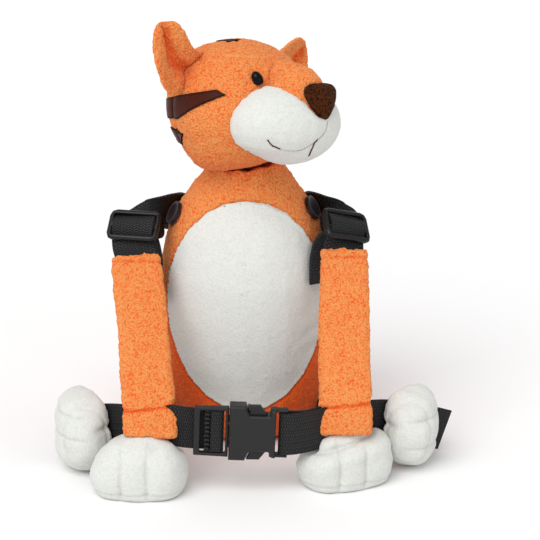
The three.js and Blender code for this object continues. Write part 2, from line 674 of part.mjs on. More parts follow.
function makeFemale() {
  const half = BUCKLE_HEIGHT / 2;
  const endHalf = BUCKLE_END_HEIGHT / 2;
  const floor = half - WINDOW_DEPTH;
  const top = [
    [0, half], [WINDOW_FROM, half], [WINDOW_FROM + WINDOW_SLANT, floor],
    [WINDOW_TO - WINDOW_SLANT / 2, floor], [WINDOW_TO, half - WINDOW_SLANT], [HOUSING_LENGTH, endHalf],
  ];
  const housing = plate([...mirrorZ(top), ...top], -BUCKLE_THICKNESS / 2, BUCKLE_THICKNESS / 2, BUCKLE_BEVEL);
  const bars = [[HOUSING_LENGTH - BAR_WIDTH, endHalf], [FEMALE_LENGTH, endHalf]];
  const endDepth = END_BAR.depth + BUCKLE_BEVEL;
  const frame = plate([...mirrorZ(bars).reverse(), ...bars.reverse()], -endDepth, endDepth, FRAME_BEVEL);
  const past = FEMALE_LENGTH + BAR_WIDTH;
  const mouthHalf = half - HOUSING_WALL;
  const mouthDepth = ARM_FRONT + 2 * GAP;
  const mouth = block(
    [-ARM_ROOT, WINDOW_TO - HOUSING_WALL], [-mouthDepth, mouthDepth], [-mouthHalf, mouthHalf]);
  return solid(housing).add(solid(frame))
    .subtract(buckleCut([HOUSING_LENGTH, END_BAR.from]))
    .subtract(buckleCut([HOUSING_LENGTH, past], [-BUCKLE_THICKNESS, -END_BAR.depth]))
    .subtract(buckleCut([HOUSING_LENGTH, past], [END_BAR.depth, BUCKLE_THICKNESS]))
    .subtract(solid(mouth));
}

function makeMale() {
  const half = BUCKLE_HEIGHT / 2;
  const endHalf = BUCKLE_END_HEIGHT / 2;
  const innerHalf = half - HOUSING_WALL / 2;
  const outline = [
    [-MALE_LENGTH, -endHalf], [-GAP, -innerHalf], [-GAP, innerHalf], [-MALE_LENGTH, endHalf],
  ];
  const inner = -HOUSING_WALL + 2 * GAP;
  const outer = -MALE_LENGTH + BAR_WIDTH;
  let body = solid(plate(outline, -FRAME_FRONT, FRAME_BACK, FRAME_BEVEL))
    .subtract(buckleCut([outer, CENTRE_BAR.from]))
    .subtract(buckleCut([CENTRE_BAR.to, inner]))
    .subtract(buckleCut([outer, inner], [-BUCKLE_THICKNESS, -CENTRE_BAR.front]));
  const pitch = SLOT_HEIGHT / (TEETH + 1);
  for (let tooth = 1; tooth <= TEETH; tooth += 1) {
    const z = tooth * pitch - SLOT_HEIGHT / 2;
    const spanX = [CENTRE_BAR.from, CENTRE_BAR.from + TOOTH_LENGTH];
    body = body.add(solid(block(spanX, [GAP - FRAME_FRONT, 0], [z - pitch / 4, z + pitch / 4])));
  }
  const armFloor = half - WINDOW_DEPTH - ARM_WIDTH / 2;
  const arm = [
    [-ARM_ROOT, armFloor], [WINDOW_FROM - WINDOW_SLANT, armFloor + ARM_SLOPE],
    [WINDOW_FROM + WINDOW_SLANT + GAP, half - ARM_WIDTH], [WINDOW_FROM + 3 * GAP, half],
    [WINDOW_TO - HOUSING_WALL - ARM_WIDTH, half],
    [WINDOW_TO - HOUSING_WALL - GAP, armFloor + HOUSING_WALL],
    [WINDOW_TO - HOUSING_WALL - GAP, armFloor], [-ARM_ROOT, armFloor - HOUSING_WALL],
  ];
  for (const outlineOfArm of [arm, mirrorZ(arm)]) {
    body = body.add(solid(plate(outlineOfArm, -ARM_FRONT, ARM_BACK)));
  }
  const tongueHalf = TONGUE_WIDTH / 2;
  const tongue = block([-ARM_ROOT, TONGUE_LENGTH], [-ARM_FRONT, ARM_BACK], [-tongueHalf, tongueHalf]);
  return body.add(solid(tongue));
}

// Assembly

const headFrame = new THREE.Matrix4().makeRotationFromEuler(
  new THREE.Euler(0, HEAD_TILT, HEAD_TURN, 'ZYX')).setPosition(vector(HEAD_PLACE));

const model = new THREE.Group();
const head = new THREE.Group();
head.applyMatrix4(headFrame);
model.add(head);

function addPiece(group, name, body, colour, roughness) {
  const piece = new THREE.Mesh(geometryOf(body), material(colour, roughness));
  piece.name = name;
  group.add(piece);
}

const addCloth = (group, name, body, colour) => addPiece(group, name, body, colour, 0.95);

function addHead() {
  const skull = solid(headShape(GAP));
  const bridge = solid(bridgeShape(GAP));
  const nose = solid(noseShape(GAP));
  const muzzle = solid(muzzleShape(GAP));
  addCloth(head, 'head', solid(headShape(0)), COLOURS.orange);
  addCloth(
    head, 'muzzle', solid(muzzleShape(0)).subtract(skull).subtract(bridge).subtract(nose), COLOURS.white);
  addCloth(head, 'muzzle_bridge', solid(bridgeShape(0)).subtract(skull).subtract(nose), COLOURS.orange);
  addCloth(head, 'nose', solid(noseShape(0)), COLOURS.nose);
  addCloth(head, 'crown_stripe', stripe(crownPrism(CROWN_STRIPE)), COLOURS.brown);
  for (const side of SIDES) {
    const { name, sign } = side;
    addCloth(head, `ear_${name}`, solid(earShape(side, 0)).subtract(skull), COLOURS.orange);
    const eye = solid(eyeShape(sign)).subtract(skull).subtract(bridge).subtract(muzzle);
    addPiece(head, `eye_${name}`, eye, COLOURS.eye, 0.1);
    const upper = stripe(cheekPrism(UPPER_STRIPE, sign)).subtract(solid(earShape(side, GAP)));
    addCloth(head, `upper_stripe_${name}`, upper, COLOURS.brown);
    addCloth(head, `lower_stripe_${name}`, stripe(cheekPrism(LOWER_STRIPE, sign)), COLOURS.brown);
  }
}

function addBuckle(beltLeft, beltRight) {
  const place = (body) => solid(geometryOf(body).applyMatrix4(buckleFrame));
  addPiece(model, 'buckle_male', place(makeMale()).subtract(beltLeft), COLOURS.buckle, 0.55);
  addPiece(model, 'buckle_female', place(makeFemale()).subtract(beltRight), COLOURS.buckle, 0.55);
}

function addSide(side, belt) {
  const { name } = side;
  const strap = strapShape(side, 0);
  const strapSpace = strapShape(side, GAP).add(strap);
  const pawSpace = solid(frontPaw(side, GAP));
  const sliderBody = solid(geometryOf(sliderShape()).applyMatrix4(sliderFrame(side)));
  const slider = sliderBody.subtract(strapSpace).subtract(tailShape(side, GAP));
  addPiece(model, `slider_${name}`, slider, COLOURS.gloss, 0.25);
  addCloth(model, `shoulder_strap_${name}`, strap, COLOURS.black);
  addCloth(model, `strap_tail_${name}`, tailShape(side, 0), COLOURS.black);

  const sleeve = solid(sleeveShape(side)).subtract(strapSpace).subtract(belt);
  addCloth(model, `arm_sleeve_${name}`, sleeve.subtract(pawSpace), COLOURS.orange);

  const beltFloor = BELT_ROUTES[name][0][2] - WEBBING_WIDTH / 2 - 2 * GAP;
  const paw = solid(frontPaw(side, 0)).subtract(behindBelt(name, beltFloor)).subtract(belt);
  addCloth(model, `front_paw_${name}`, paw, COLOURS.white);
  const foot = solid(beltFoot(side)).subtract(behindBelt(name, 0)).subtract(belt);
  addCloth(model, `rear_paw_${name}`, foot.subtract(pawSpace), COLOURS.white);
  addPiece(model, `snap_disc_${name}`, solid(discShape(side)), COLOURS.gloss, 0.4);
}

function build() {
  const torso = SIDES.reduce((body, side) => body
    .subtract(hipShape(side.name, GAP)).subtract(strapShape(side, GAP)), makeTorso());
  addCloth(model, 'torso', torso, COLOURS.orange);
  addCloth(model, 'belly_panel', makeBelly(), COLOURS.white);
  addHead();
  const belts = SIDES.map(({ name }) => beltShape(name, GAP));
  SIDES.forEach((side, i) => {
    const { name } = side;
    addSide(side, belts[i]);
    addCloth(model, `belt_${name}`, beltShape(name, 0), COLOURS.black);
    addCloth(model, `hip_strap_${name}`, hipShape(name, 0).subtract(belts[i]), COLOURS.black);
  });
  addBuckle(...belts);
}

build();

export default model;
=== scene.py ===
"""Plush tiger harness backpack: pile cloth, satin stripes, webbing, sliders and a buckle."""
import itertools
import math

import bmesh
import bpy
import numpy as np
from bpy.props import FloatProperty, FloatVectorProperty, IntProperty, PointerProperty
from mathutils import Matrix, Vector
from mathutils.bvhtree import BVHTree
from mathutils.kdtree import KDTree


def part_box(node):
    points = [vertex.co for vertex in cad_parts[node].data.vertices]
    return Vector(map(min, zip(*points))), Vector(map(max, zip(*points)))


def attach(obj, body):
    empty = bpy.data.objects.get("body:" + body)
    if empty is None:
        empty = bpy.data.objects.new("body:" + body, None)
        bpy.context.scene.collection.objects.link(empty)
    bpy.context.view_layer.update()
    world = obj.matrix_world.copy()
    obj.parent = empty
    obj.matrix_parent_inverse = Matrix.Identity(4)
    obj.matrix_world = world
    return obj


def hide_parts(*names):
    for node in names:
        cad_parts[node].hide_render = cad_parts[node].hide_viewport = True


bl_info = {
    "name": "Plush Harness Backpack",
    "version": (1, 0, 0),
    "blender": (4, 5, 0),
    "location": "View3D > Sidebar > Backpack",
    "description": "Builds the cloth, webbing and plastic of a plush harness backpack",
    "category": "Add Mesh",
}

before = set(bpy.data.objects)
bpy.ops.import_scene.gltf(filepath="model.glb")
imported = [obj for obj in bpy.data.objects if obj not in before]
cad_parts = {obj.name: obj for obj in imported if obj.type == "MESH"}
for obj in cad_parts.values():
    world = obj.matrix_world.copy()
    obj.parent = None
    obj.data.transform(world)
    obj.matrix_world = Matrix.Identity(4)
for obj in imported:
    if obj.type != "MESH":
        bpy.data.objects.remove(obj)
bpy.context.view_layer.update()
MM = 0.001
SIDES = ("left", "right")

# The image that the camera's numbers belong to, and the place it looks at
IMAGE_SIZE = 540
CAMERA_TARGET = Vector((0.0153, 0.0, 0.1))
CAMERA_RISE = math.radians(18)
CAMERA_DISTANCE = 1.2
CAMERA_FOCAL_PIXELS = 1967
SENSOR = 36

# How far behind the head's middle the seam of its side lies, in millimetres
SIDE_SEAM = 14

# How much fuller the moulded sliders are than their plain frames
SLIDER_SWELL = 0.3 * MM

# Widths of the webbing and thickness, which tell its rings in the frame's ribbons
WEBBING_WIDTH = 25 * MM
WEBBING_THICKNESS = 1.8 * MM

# Lines on the face in the head's own directions: side, ahead and up, in millimetres
MOUTH_SEAM = ((5.2, 67.0, -1.0), (3.9, 66.0, -7.0), (-3.4, 64.6, -13.8), (-11.7, 60.4, -19.3),
              (-20.3, 56.6, -19.4), (-25.6, 54.2, -17.8))
SMILE_LEFT = ((-30.2, 52.4, -13.2), (-28.6, 53.5, -16), (-26.2, 54.4, -17.8), (-22.6, 55.8, -18.8))
SMILE_RIGHT = ((-2.6, 65.4, -11.4), (-3.4, 64.2, -14.6), (-3.4, 62.4, -18), (-1.8, 59.8, -21.8))
SEAM_THREAD = 0.22 * MM
SMILE_THREAD = 0.36 * MM
THREAD_SIDES = 8

# How fine each remeshed piece is, in millimetres, and its rounds of smoothing
GRAIN = {
    "torso": (1.9, 30), "belly_panel": (0.95, 3), "head": (1.6, 22), "muzzle": (1.4, 12),
    "muzzle_bridge": (1.4, 10), "nose": (0.8, 6), "ear": (1.4, 8), "stripe": (0.42, 2), "eye": (0.5, 4),
    "sleeve": (1.5, 5), "paw": (1.6, 8), "slider": (0.4, 3), "disc": (0.35, 4), "buckle": (0.45, 1),
}

# Creases of the body and of its panel beside the right arm: height, width and depth in millimetres
BODY_CREASES = ((64, 4.2, 1.5), (54, 3.6, 1.3), (75, 4.4, 0.9))
PANEL_CREASES = ((70, 3.2, 0.9), (58, 3.4, 1.0), (84, 4, 0.6))

# Heights on the body, in millimetres: where it gathers at the neck, where shade is painted below the
# head, and the middle of its chest, which gets less painted shade
NECK_GATHER = 172
NECK_SHADE = 174
CHEST = 142

# The crown's stripe is smaller in each direction and stands further forward than its plain solid,
# and the near cheek's lower stripe further back
CROWN_SIZE = (0.68, 0.42, 0.68)
CROWN_SHIFT = (0.5, -14.0, 0.0)
CROWN_HEIGHT = 0.6
LOWER_SHIFT = (-2.2, 0.6, 0.2)

# Colours that no user would change, and where the lights hang
EYE_BLACK = (0.003, 0.003, 0.003)
THREAD_GREY = (0.42, 0.41, 0.38)
# Painted highlight on the shoulder discs' rims: its colour, and its radius in millimetres
DISC_RIM_HIGHLIGHT = (0.16, 0.15, 0.16)
DISC_RIM_RADIUS = 6.4
KEY_PLACE = (-0.8, -1.5, 2.1)
GLINT_PLACE = (0.9, -1.3, 0.7)
GLINT_SIZE = 0.25


class PlushSettings(bpy.types.PropertyGroup):
    orange: FloatVectorProperty(
        name="Orange", description="Terry pile in the light", subtype='COLOR', size=3,
        default=(0.80, 0.325, 0.098))
    # Shaded copy of the orange: painted shade between the loops, in seams and hollows, and the dark end
    # of its random tone
    orange_shaded: FloatVectorProperty(
        name="Deep orange", description="Terry between the loops", subtype='COLOR', size=3,
        default=(0.77, 0.105, 0.018))
    white: FloatVectorProperty(
        name="White", description="Fleece in the light", subtype='COLOR', size=3,
        default=(0.735, 0.745, 0.71))
    # Shaded copy of the white: painted shade between the hairs, in seams and hollows, and the dark end of
    # its random tone
    white_shaded: FloatVectorProperty(
        name="Deep white", description="Fleece between the hairs", subtype='COLOR', size=3,
        default=(0.56, 0.57, 0.535))
    nose: FloatVectorProperty(
        name="Nose", description="Short pile of the nose", subtype='COLOR', size=3,
        default=(0.078, 0.019, 0.004))
    # Shaded copy of the nose colour: painted shade between the hairs and the dark end of its random tone
    nose_shaded: FloatVectorProperty(
        name="Deep nose", description="Nose between the hairs", subtype='COLOR', size=3,
        default=(0.008, 0.002, 0.0007))
    satin: FloatVectorProperty(
        name="Satin", description="Stripes and embroidery", subtype='COLOR', size=3,
        default=(0.058, 0.0095, 0.004))
    terry_height: FloatProperty(
        name="Terry height", description="How far the loops stand out", default=0.62 * MM,
        subtype='DISTANCE', unit='LENGTH')
    terry_size: FloatProperty(
        name="Terry size", description="Distance between loops", default=1.9 * MM,
        subtype='DISTANCE', unit='LENGTH')
    fleece_height: FloatProperty(
        name="Fleece height", description="Unevenness of the fleece", default=0.16 * MM,
        subtype='DISTANCE', unit='LENGTH')
    fleece_size: FloatProperty(
        name="Fleece size", description="Distance between tufts of fleece", default=2.4 * MM,
        subtype='DISTANCE', unit='LENGTH')


class HardwareSettings(bpy.types.PropertyGroup):
    webbing: FloatVectorProperty(
        name="Webbing", description="Woven straps", subtype='COLOR', size=3,
        default=(0.006, 0.006, 0.007))
    # Painted highlight colour for the tops of the threads
    webbing_light: FloatVectorProperty(
        name="Webbing threads", description="Tops of the woven threads", subtype='COLOR', size=3,
        default=(0.055, 0.055, 0.058))
    slider: FloatVectorProperty(
        name="Slider", description="Glossy strap adjusters", subtype='COLOR', size=3,
        default=(0.008, 0.008, 0.009))
    buckle: FloatVectorProperty(
        name="Buckle", description="Matt buckle", subtype='COLOR', size=3,
        default=(0.011, 0.011, 0.0115))
    disc: FloatVectorProperty(
        name="Disc", description="Round shoulder discs", subtype='COLOR', size=3,
        default=(0.012, 0.004, 0.006))
    weave_columns: IntProperty(
        name="Weave columns", description="Herringbone columns across the webbing", default=13, min=2)


class StageSettings(bpy.types.PropertyGroup):
    floor: FloatVectorProperty(
        name="Floor", description="Pale plain floor", subtype='COLOR', size=3,
        default=(0.93, 0.93, 0.93))
    floor_size: FloatProperty(
        name="Floor size", description="Side of the square floor", default=30.0,
        subtype='DISTANCE', unit='LENGTH')
    key_strength: FloatProperty(
        name="Key light", description="Strength of the wide soft light", default=1.75)
    key_spread: FloatProperty(
        name="Key spread", description="How wide the soft light stands in the sky",
        default=math.radians(48), subtype='ANGLE', unit='ROTATION')
    glint_power: FloatProperty(
        name="Glint light", description="Power of the small light that glints in the eyes",
        default=1.2, subtype='POWER', unit='POWER')
    sky: FloatProperty(
        name="Sky", description="Strength of the white surroundings", default=0.67)


def settings(kind):
    return getattr(bpy.context.scene, kind)


# Arrays and noise

def positions(mesh):
    values = np.empty(len(mesh.vertices) * 3)
    mesh.vertices.foreach_get("co", values)
    return values.reshape(-1, 3)


def normals(mesh):
    values = np.empty(len(mesh.vertices) * 3)
    mesh.vertex_normals.foreach_get("vector", values)
    return values.reshape(-1, 3)


def place(mesh, values):
    mesh.vertices.foreach_set("co", values.ravel())
    mesh.update()


def keep_values(mesh, name, values):
    """Stores one number for each vertex, for the material to read."""
    layer = mesh.attributes.new(name, 'FLOAT', 'POINT')
    layer.data.foreach_set("value", values.astype(np.float32))


def noise(points, size, seed):
    """Smooth noise from -1 to 1, one value for each point."""
    scaled = points / size
    cell = np.floor(scaled).astype(np.int64)
    part = scaled - cell
    part = part * part * (3 - 2 * part)
    total = np.zeros(len(points))
    for corner in itertools.product((0, 1), repeat=3):
        key = cell + corner
        mixed = (key[:, 0] * 73856093) ^ (key[:, 1] * 19349663) ^ (key[:, 2] * 83492791) ^ (seed * 7919)
        mixed = ((mixed ^ (mixed >> 13)) * 1274126177) & 0x7FFFFFFF
        weight = np.prod(np.where(corner, part, 1 - part), axis=1)
        total += weight * ((mixed >> 7) & 0xFFFF) / 0xFFFF
    return 2 * total - 1


def groove(distance, width):
    """A soft dent, 1 on its line and 0 far from it."""
    return np.exp(-(distance / width) ** 2)


# Meshes

def link(mesh, name):
    piece = bpy.data.objects.new(name, mesh)
    bpy.context.scene.collection.objects.link(piece)
    return piece


def applied(piece):
    """Turns what the modifiers show into the piece's own mesh."""
    mesh = bpy.data.meshes.new_from_object(piece.evaluated_get(bpy.context.evaluated_depsgraph_get()))
    piece.modifiers.clear()
    piece.data = mesh
    for polygon in mesh.polygons:
        polygon.use_smooth = True
    return piece


def soft_copy(node, name, kind, levels=1):
    """A copy of a node, made even and smoothed into stuffed cloth or moulded plastic."""
    voxel, rounds = GRAIN[kind]
    piece = link(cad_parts[node].data.copy(), name)
    piece.data.materials.clear()
    weld = piece.modifiers.new("weld", 'WELD')
    weld.merge_threshold = 1e-6
    remesh = piece.modifiers.new("even", 'REMESH')
    remesh.mode = 'VOXEL'
    remesh.voxel_size = voxel * MM
    smooth = piece.modifiers.new("smooth", 'SMOOTH')
    smooth.factor = 0.5
    smooth.iterations = rounds
    if levels:
        rounder = piece.modifiers.new("round", 'SUBSURF')
        rounder.levels = levels
        rounder.render_levels = levels
    return applied(piece)


def finished(piece, node, material):
    piece.data.materials.clear()
    piece.data.materials.append(material)
    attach(piece, "root")
    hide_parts(node)
    return piece


def raised(piece, out, pile, painted_shade=None):
    """Moves each vertex out by a shape, then by its pile, and keeps the pile and any painted shade for
    the material.

    Gives back the form without its pile, for other pieces to lie on.
    """
    mesh = piece.data
    place(mesh, positions(mesh) + normals(mesh) * out[:, None])
    form = form_of(mesh)
    place(mesh, positions(mesh) + normals(mesh) * pile[:, None])
    spread = np.abs(pile).max() or 1.0
    keep_values(mesh, "pile", 0.5 + 0.5 * pile / spread)
    # Painted shade: a share from 0 to 1 that darkens the pile colour in seams, creases, hollows and low
    # places
    if painted_shade is not None:
        keep_values(mesh, "painted_shade", np.clip(painted_shade, 0, 1))
    return form


def form_of(mesh):
    return BVHTree.FromPolygons(
        [vertex.co for vertex in mesh.vertices], [polygon.vertices for polygon in mesh.polygons])


def heights_over(form, points):
    """The nearest place on a form, its normal and the height over it, for each point."""
    found = [form.find_nearest(Vector(point)) for point in points]
    spots = np.array([place_found for place_found, _, _, _ in found])
    directions = np.array([normal for _, normal, _, _ in found])
    return spots, directions, ((points - spots) * directions).sum(axis=1)


def terry(points, share=1.0):
    """Heights of the curly terry loops, a share of their full height."""
    plush = settings("plush")
    loops = 0.55 * noise(points, plush.terry_size, 3)
    loops += 0.6 * noise(points, 0.62 * plush.terry_size, 5)
    return plush.terry_height * share * loops


def fleece(points):
    """Heights of the short uneven fleece."""
    plush = settings("plush")
    tufts = 0.6 * noise(points, plush.fleece_size, 11) + 0.4 * noise(points, 0.45 * plush.fleece_size, 13)
    return plush.fleece_height * tufts


def tube(path, radius, name):
    """A closed thread along points."""
    points = [Vector(point) for point in path]
    mesh = bmesh.new()
    rings = []
    normal = None
    for index, point in enumerate(points):
        along = (points[min(index + 1, len(points) - 1)] - points[max(index - 1, 0)]).normalized()
        if normal is None:
            normal = along.orthogonal()
        normal = (normal - along * normal.dot(along)).normalized()
        other = along.cross(normal)
        ring = []
        for side in range(THREAD_SIDES):
            angle = 2 * math.pi * side / THREAD_SIDES
            away = math.cos(angle) * normal + math.sin(angle) * other
            ring.append(mesh.verts.new(point + radius * away))
        rings.append(ring)
    for first, second in zip(rings, rings[1:]):
        for side in range(THREAD_SIDES):
            after = (side + 1) % THREAD_SIDES
            mesh.faces.new((first[side], first[after], second[after], second[side]))
    mesh.faces.new(list(reversed(rings[0])))
    mesh.faces.new(rings[-1])
    bmesh.ops.recalc_face_normals(mesh, faces=mesh.faces)
    data = bpy.data.meshes.new(name)
    mesh.to_mesh(data)
    mesh.free()
    piece = link(data, name)
    for polygon in data.polygons:
        polygon.use_smooth = True
    return piece


def smooth_line(points, count):
    """Evenly numbered points on a smooth curve through some points."""
    knots = np.asarray(points, dtype=float)
    padded = np.vstack((2 * knots[0] - knots[1], knots, 2 * knots[-1] - knots[-2]))
    line = []
    for share in np.linspace(0, len(knots) - 1, count):
        start = min(int(share), len(knots) - 2)
        t = share - start
        a, b, c, d = padded[start:start + 4]
        line.append(0.5 * (2 * b + (c - a) * t + (2 * a - 5 * b + 4 * c - d) * t * t
                           + (3 * b - a - 3 * c + d) * t ** 3))
    return np.array(line)


# The head's own directions, from the places of its eyes

def middle_of(node):
    low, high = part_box(node)
    return (Vector(low) + Vector(high)) / 2


def head_frame():
    middle = middle_of("head")
    side = (middle_of("eye_right") - middle_of("eye_left")).normalized()
    up = (Vector((0, 0, 1)) - side * side.z).normalized()
    ahead = up.cross(-side).normalized()
    return middle, side, ahead, up


def in_head(points):
    """Side, ahead and up of each point, in metres."""
    middle, *axes = head_frame()
    return (points - np.array(middle)) @ np.array(axes).T


def from_head(point):
    middle, side, ahead, up = head_frame()
    return middle + (side * point[0] + ahead * point[1] + up * point[2]) * MM


# Materials

def node_group(name, inputs, outputs):
    group = bpy.data.node_groups.new(name, 'ShaderNodeTree')
    for title, kind, value in inputs:
        socket = group.interface.new_socket(title, in_out='INPUT', socket_type=kind)
        socket.default_value = value
    for title, kind in outputs:
        group.interface.new_socket(title, in_out='OUTPUT', socket_type=kind)
    return group, group.nodes.new('NodeGroupInput'), group.nodes.new('NodeGroupOutput')


def math_node(tree, operation, first, second=None):
    node = tree.nodes.new('ShaderNodeMath')
    node.operation = operation
    for socket, value in zip(node.inputs, (first, second)):
        if value is None:
            continue
        if isinstance(value, (int, float)):
            socket.default_value = value
        else:
            tree.links.new(value, socket)
    return node.outputs[0]


def mix_colours(tree, factor, first, second):
    mix = tree.nodes.new('ShaderNodeMix')
    mix.data_type = 'RGBA'
    tree.links.new(factor, mix.inputs["Factor"])
    tree.links.new(first, mix.inputs["A"])
    tree.links.new(second, mix.inputs["B"])
    return mix.outputs["Result"]


def noise_node(tree, place_socket, scale, detail):
    node = tree.nodes.new('ShaderNodeTexNoise')
    node.inputs["Scale"].default_value = scale
    node.inputs["Detail"].default_value = detail
    tree.links.new(place_socket, node.inputs["Vector"])
    return node.outputs["Fac"]


def make_pile_group():
    """Cloth pile: round loops, coloured from the shaded root to the lit tip with painted shade between
    the loops and random tone, and the height of its hairs.
    """
    group, given, result = node_group("Pile", (
        ("Tip", 'NodeSocketColor', (1, 1, 1, 1)), ("Root", 'NodeSocketColor', (0, 0, 0, 1)),
        ("Contrast", 'NodeSocketFloat', 1.0), ("Loops", 'NodeSocketFloat', 860.0)),
        (("Color", 'NodeSocketColor'), ("Height", 'NodeSocketFloat')))
    place_socket = group.nodes.new('ShaderNodeTexCoord').outputs["Object"]
    kept = group.nodes.new('ShaderNodeAttribute')
    kept.attribute_name = "pile"
    loops = group.nodes.new('ShaderNodeTexVoronoi')
    group.links.new(place_socket, loops.inputs["Vector"])
    group.links.new(given.outputs["Loops"], loops.inputs["Scale"])
    fine = math_node(group, 'SUBTRACT', 1.0, loops.outputs["Distance"])
    coarse = noise_node(group, place_socket, 60, 2)
    grain = noise_node(group, place_socket, 1900, 2)
    # Painted shade between the loops: lower pile and the rims of the loop cells lean to the shaded root
    # colour; the grain and coarse noise vary the tone at random
    depth = math_node(group, 'ADD', math_node(group, 'MULTIPLY', kept.outputs["Fac"], 0.22),
                      math_node(group, 'MULTIPLY', fine, 0.6))
    depth = math_node(group, 'ADD', depth, math_node(group, 'MULTIPLY', grain, 0.6))
    depth = math_node(group, 'ADD', depth, math_node(group, 'MULTIPLY', coarse, 0.14))
    centred = math_node(group, 'SUBTRACT', depth, 0.79)
    share = math_node(group, 'MULTIPLY', centred, given.outputs["Contrast"])
    share = math_node(group, 'ADD', share, 0.68)
    # Painted shade: the attribute kept by raised pulls the colour further towards the shaded root colour
    # in seams, creases and hollows
    fold = group.nodes.new('ShaderNodeAttribute')
    fold.attribute_name = "painted_shade"
    share = math_node(group, 'SUBTRACT', share, fold.outputs["Fac"])
    share = math_node(group, 'MINIMUM', math_node(group, 'MAXIMUM', share, 0.0), 1.0)
    colour = mix_colours(group, share, given.outputs["Root"], given.outputs["Tip"])
    group.links.new(colour, result.inputs["Color"])
    height = math_node(group, 'ADD', fine, math_node(group, 'MULTIPLY', grain, 0.4))
    group.links.new(height, result.inputs["Height"])
    return group


def make_weave_group():
    """Herringbone webbing: slanted threads in columns that turn, from the strap's own coordinates, with a
    painted highlight on the thread tops.
    """
    group, given, result = node_group("Herringbone", (
        ("Base", 'NodeSocketColor', (0, 0, 0, 1)), ("Thread", 'NodeSocketColor', (1, 1, 1, 1)),
        ("Columns", 'NodeSocketFloat', 8.0)),
        (("Color", 'NodeSocketColor'), ("Height", 'NodeSocketFloat'), ("Roughness", 'NodeSocketFloat')))
    place_node = group.nodes.new('ShaderNodeUVMap')
    place_node.uv_map = "weave"
    split = group.nodes.new('ShaderNodeSeparateXYZ')
    group.links.new(place_node.outputs["UV"], split.inputs[0])
    along, across = split.outputs["X"], split.outputs["Y"]
    column = math_node(group, 'MULTIPLY', across, given.outputs["Columns"])
    turn = math_node(group, 'PINGPONG', column, 1.0)
    slope = math_node(group, 'MULTIPLY', turn, 0.75)
    slant = math_node(group, 'ADD', math_node(group, 'MULTIPLY', along, 0.72), slope)
    stripe = math_node(group, 'SINE', math_node(group, 'MULTIPLY', slant, 2 * math.pi))
    bead = math_node(group, 'SINE', math_node(group, 'MULTIPLY', column, 2 * math.pi))
    relief = math_node(group, 'MULTIPLY', bead, 0.12)
    height = math_node(group, 'ADD', math_node(group, 'MULTIPLY', stripe, 0.36), relief)
    height = math_node(group, 'ADD', height, 0.5)
    highlight_place = group.nodes.new('ShaderNodeTexCoord').outputs["Object"]
    patch = noise_node(group, highlight_place, 1500, 2)
    # Painted highlight: the thread tops take the lighter thread colour, in patches of noise
    top = math_node(group, 'POWER', math_node(group, 'MAXIMUM', height, 0.0), 4.0)
    lit = math_node(group, 'MULTIPLY', top, math_node(group, 'MULTIPLY', patch, 1.6))
    colour = mix_colours(group, lit, given.outputs["Base"], given.outputs["Thread"])
    group.links.new(colour, result.inputs["Color"])
    group.links.new(height, result.inputs["Height"])
    rough = math_node(group, 'SUBTRACT', 0.72, math_node(group, 'MULTIPLY', height, 0.3))
    group.links.new(rough, result.inputs["Roughness"])
    return group


def make_mould_group():
    """Moulded plastic or satin: an edge colour, which is a painted highlight on the disc rims and a
    darker stitched border with painted seam shade on the satin, faint clouding and a fine skin.
    """
    group, given, result = node_group("Moulded skin", (
        ("Color", 'NodeSocketColor', (0, 0, 0, 1)), ("Edge", 'NodeSocketColor', (0, 0, 0, 1)),
        ("Roughness", 'NodeSocketFloat', 0.5), ("Grain", 'NodeSocketFloat', 900.0)),
        (("Color", 'NodeSocketColor'), ("Roughness", 'NodeSocketFloat'), ("Height", 'NodeSocketFloat')))
    place_socket = group.nodes.new('ShaderNodeTexCoord').outputs["Object"]
    cloud = noise_node(group, place_socket, 120, 4)
    grain = group.nodes.new('ShaderNodeTexNoise')
    grain.inputs["Detail"].default_value = 2
    group.links.new(place_socket, grain.inputs["Vector"])
    group.links.new(given.outputs["Grain"], grain.inputs["Scale"])
    # The edge attribute: painted highlight on the disc rims; on the satin, a darker stitched border and
    # painted shade in the head's side seam
    edge_highlight_and_shade = group.nodes.new('ShaderNodeAttribute')
    edge_highlight_and_shade.attribute_name = "edge"
    faint = math_node(group, 'MULTIPLY', math_node(group, 'POWER', cloud, 3.0), 0.4)
    share = math_node(group, 'MAXIMUM', edge_highlight_and_shade.outputs["Fac"], faint)
    colour = mix_colours(group, share, given.outputs["Color"], given.outputs["Edge"])
    group.links.new(colour, result.inputs["Color"])
    shift = math_node(group, 'MULTIPLY', math_node(group, 'SUBTRACT', cloud, 0.5), 0.35)
    rough = math_node(group, 'ADD', given.outputs["Roughness"], shift)
    group.links.new(rough, result.inputs["Roughness"])
    group.links.new(grain.outputs["Fac"], result.inputs["Height"])
    return group


def material_with(name, group, values, bump, distance, **shader):
    """A material whose shader takes its colour and relief from a group."""
    if name in MADE:
        return MADE[name]
    material = MADE[name] = bpy.data.materials.new(name)
    material.use_nodes = True
    tree = material.node_tree
    skin = tree.nodes["Principled BSDF"]
    maker = tree.nodes.new('ShaderNodeGroup')
    maker.node_tree = bpy.data.node_groups.get(group) or GROUPS[group]()
    for title, value in values.items():
        maker.inputs[title].default_value = value
    tree.links.new(maker.outputs["Color"], skin.inputs["Base Color"])
    if "Roughness" in maker.outputs:
        tree.links.new(maker.outputs["Roughness"], skin.inputs["Roughness"])
    relief = tree.nodes.new('ShaderNodeBump')
    relief.inputs["Strength"].default_value = bump
    relief.inputs["Distance"].default_value = distance
    tree.links.new(maker.outputs["Height"], relief.inputs["Height"])
    tree.links.new(relief.outputs["Normal"], skin.inputs["Normal"])
    for title, value in shader.items():
        skin.inputs[title.replace("_", " ")].default_value = value
    return material


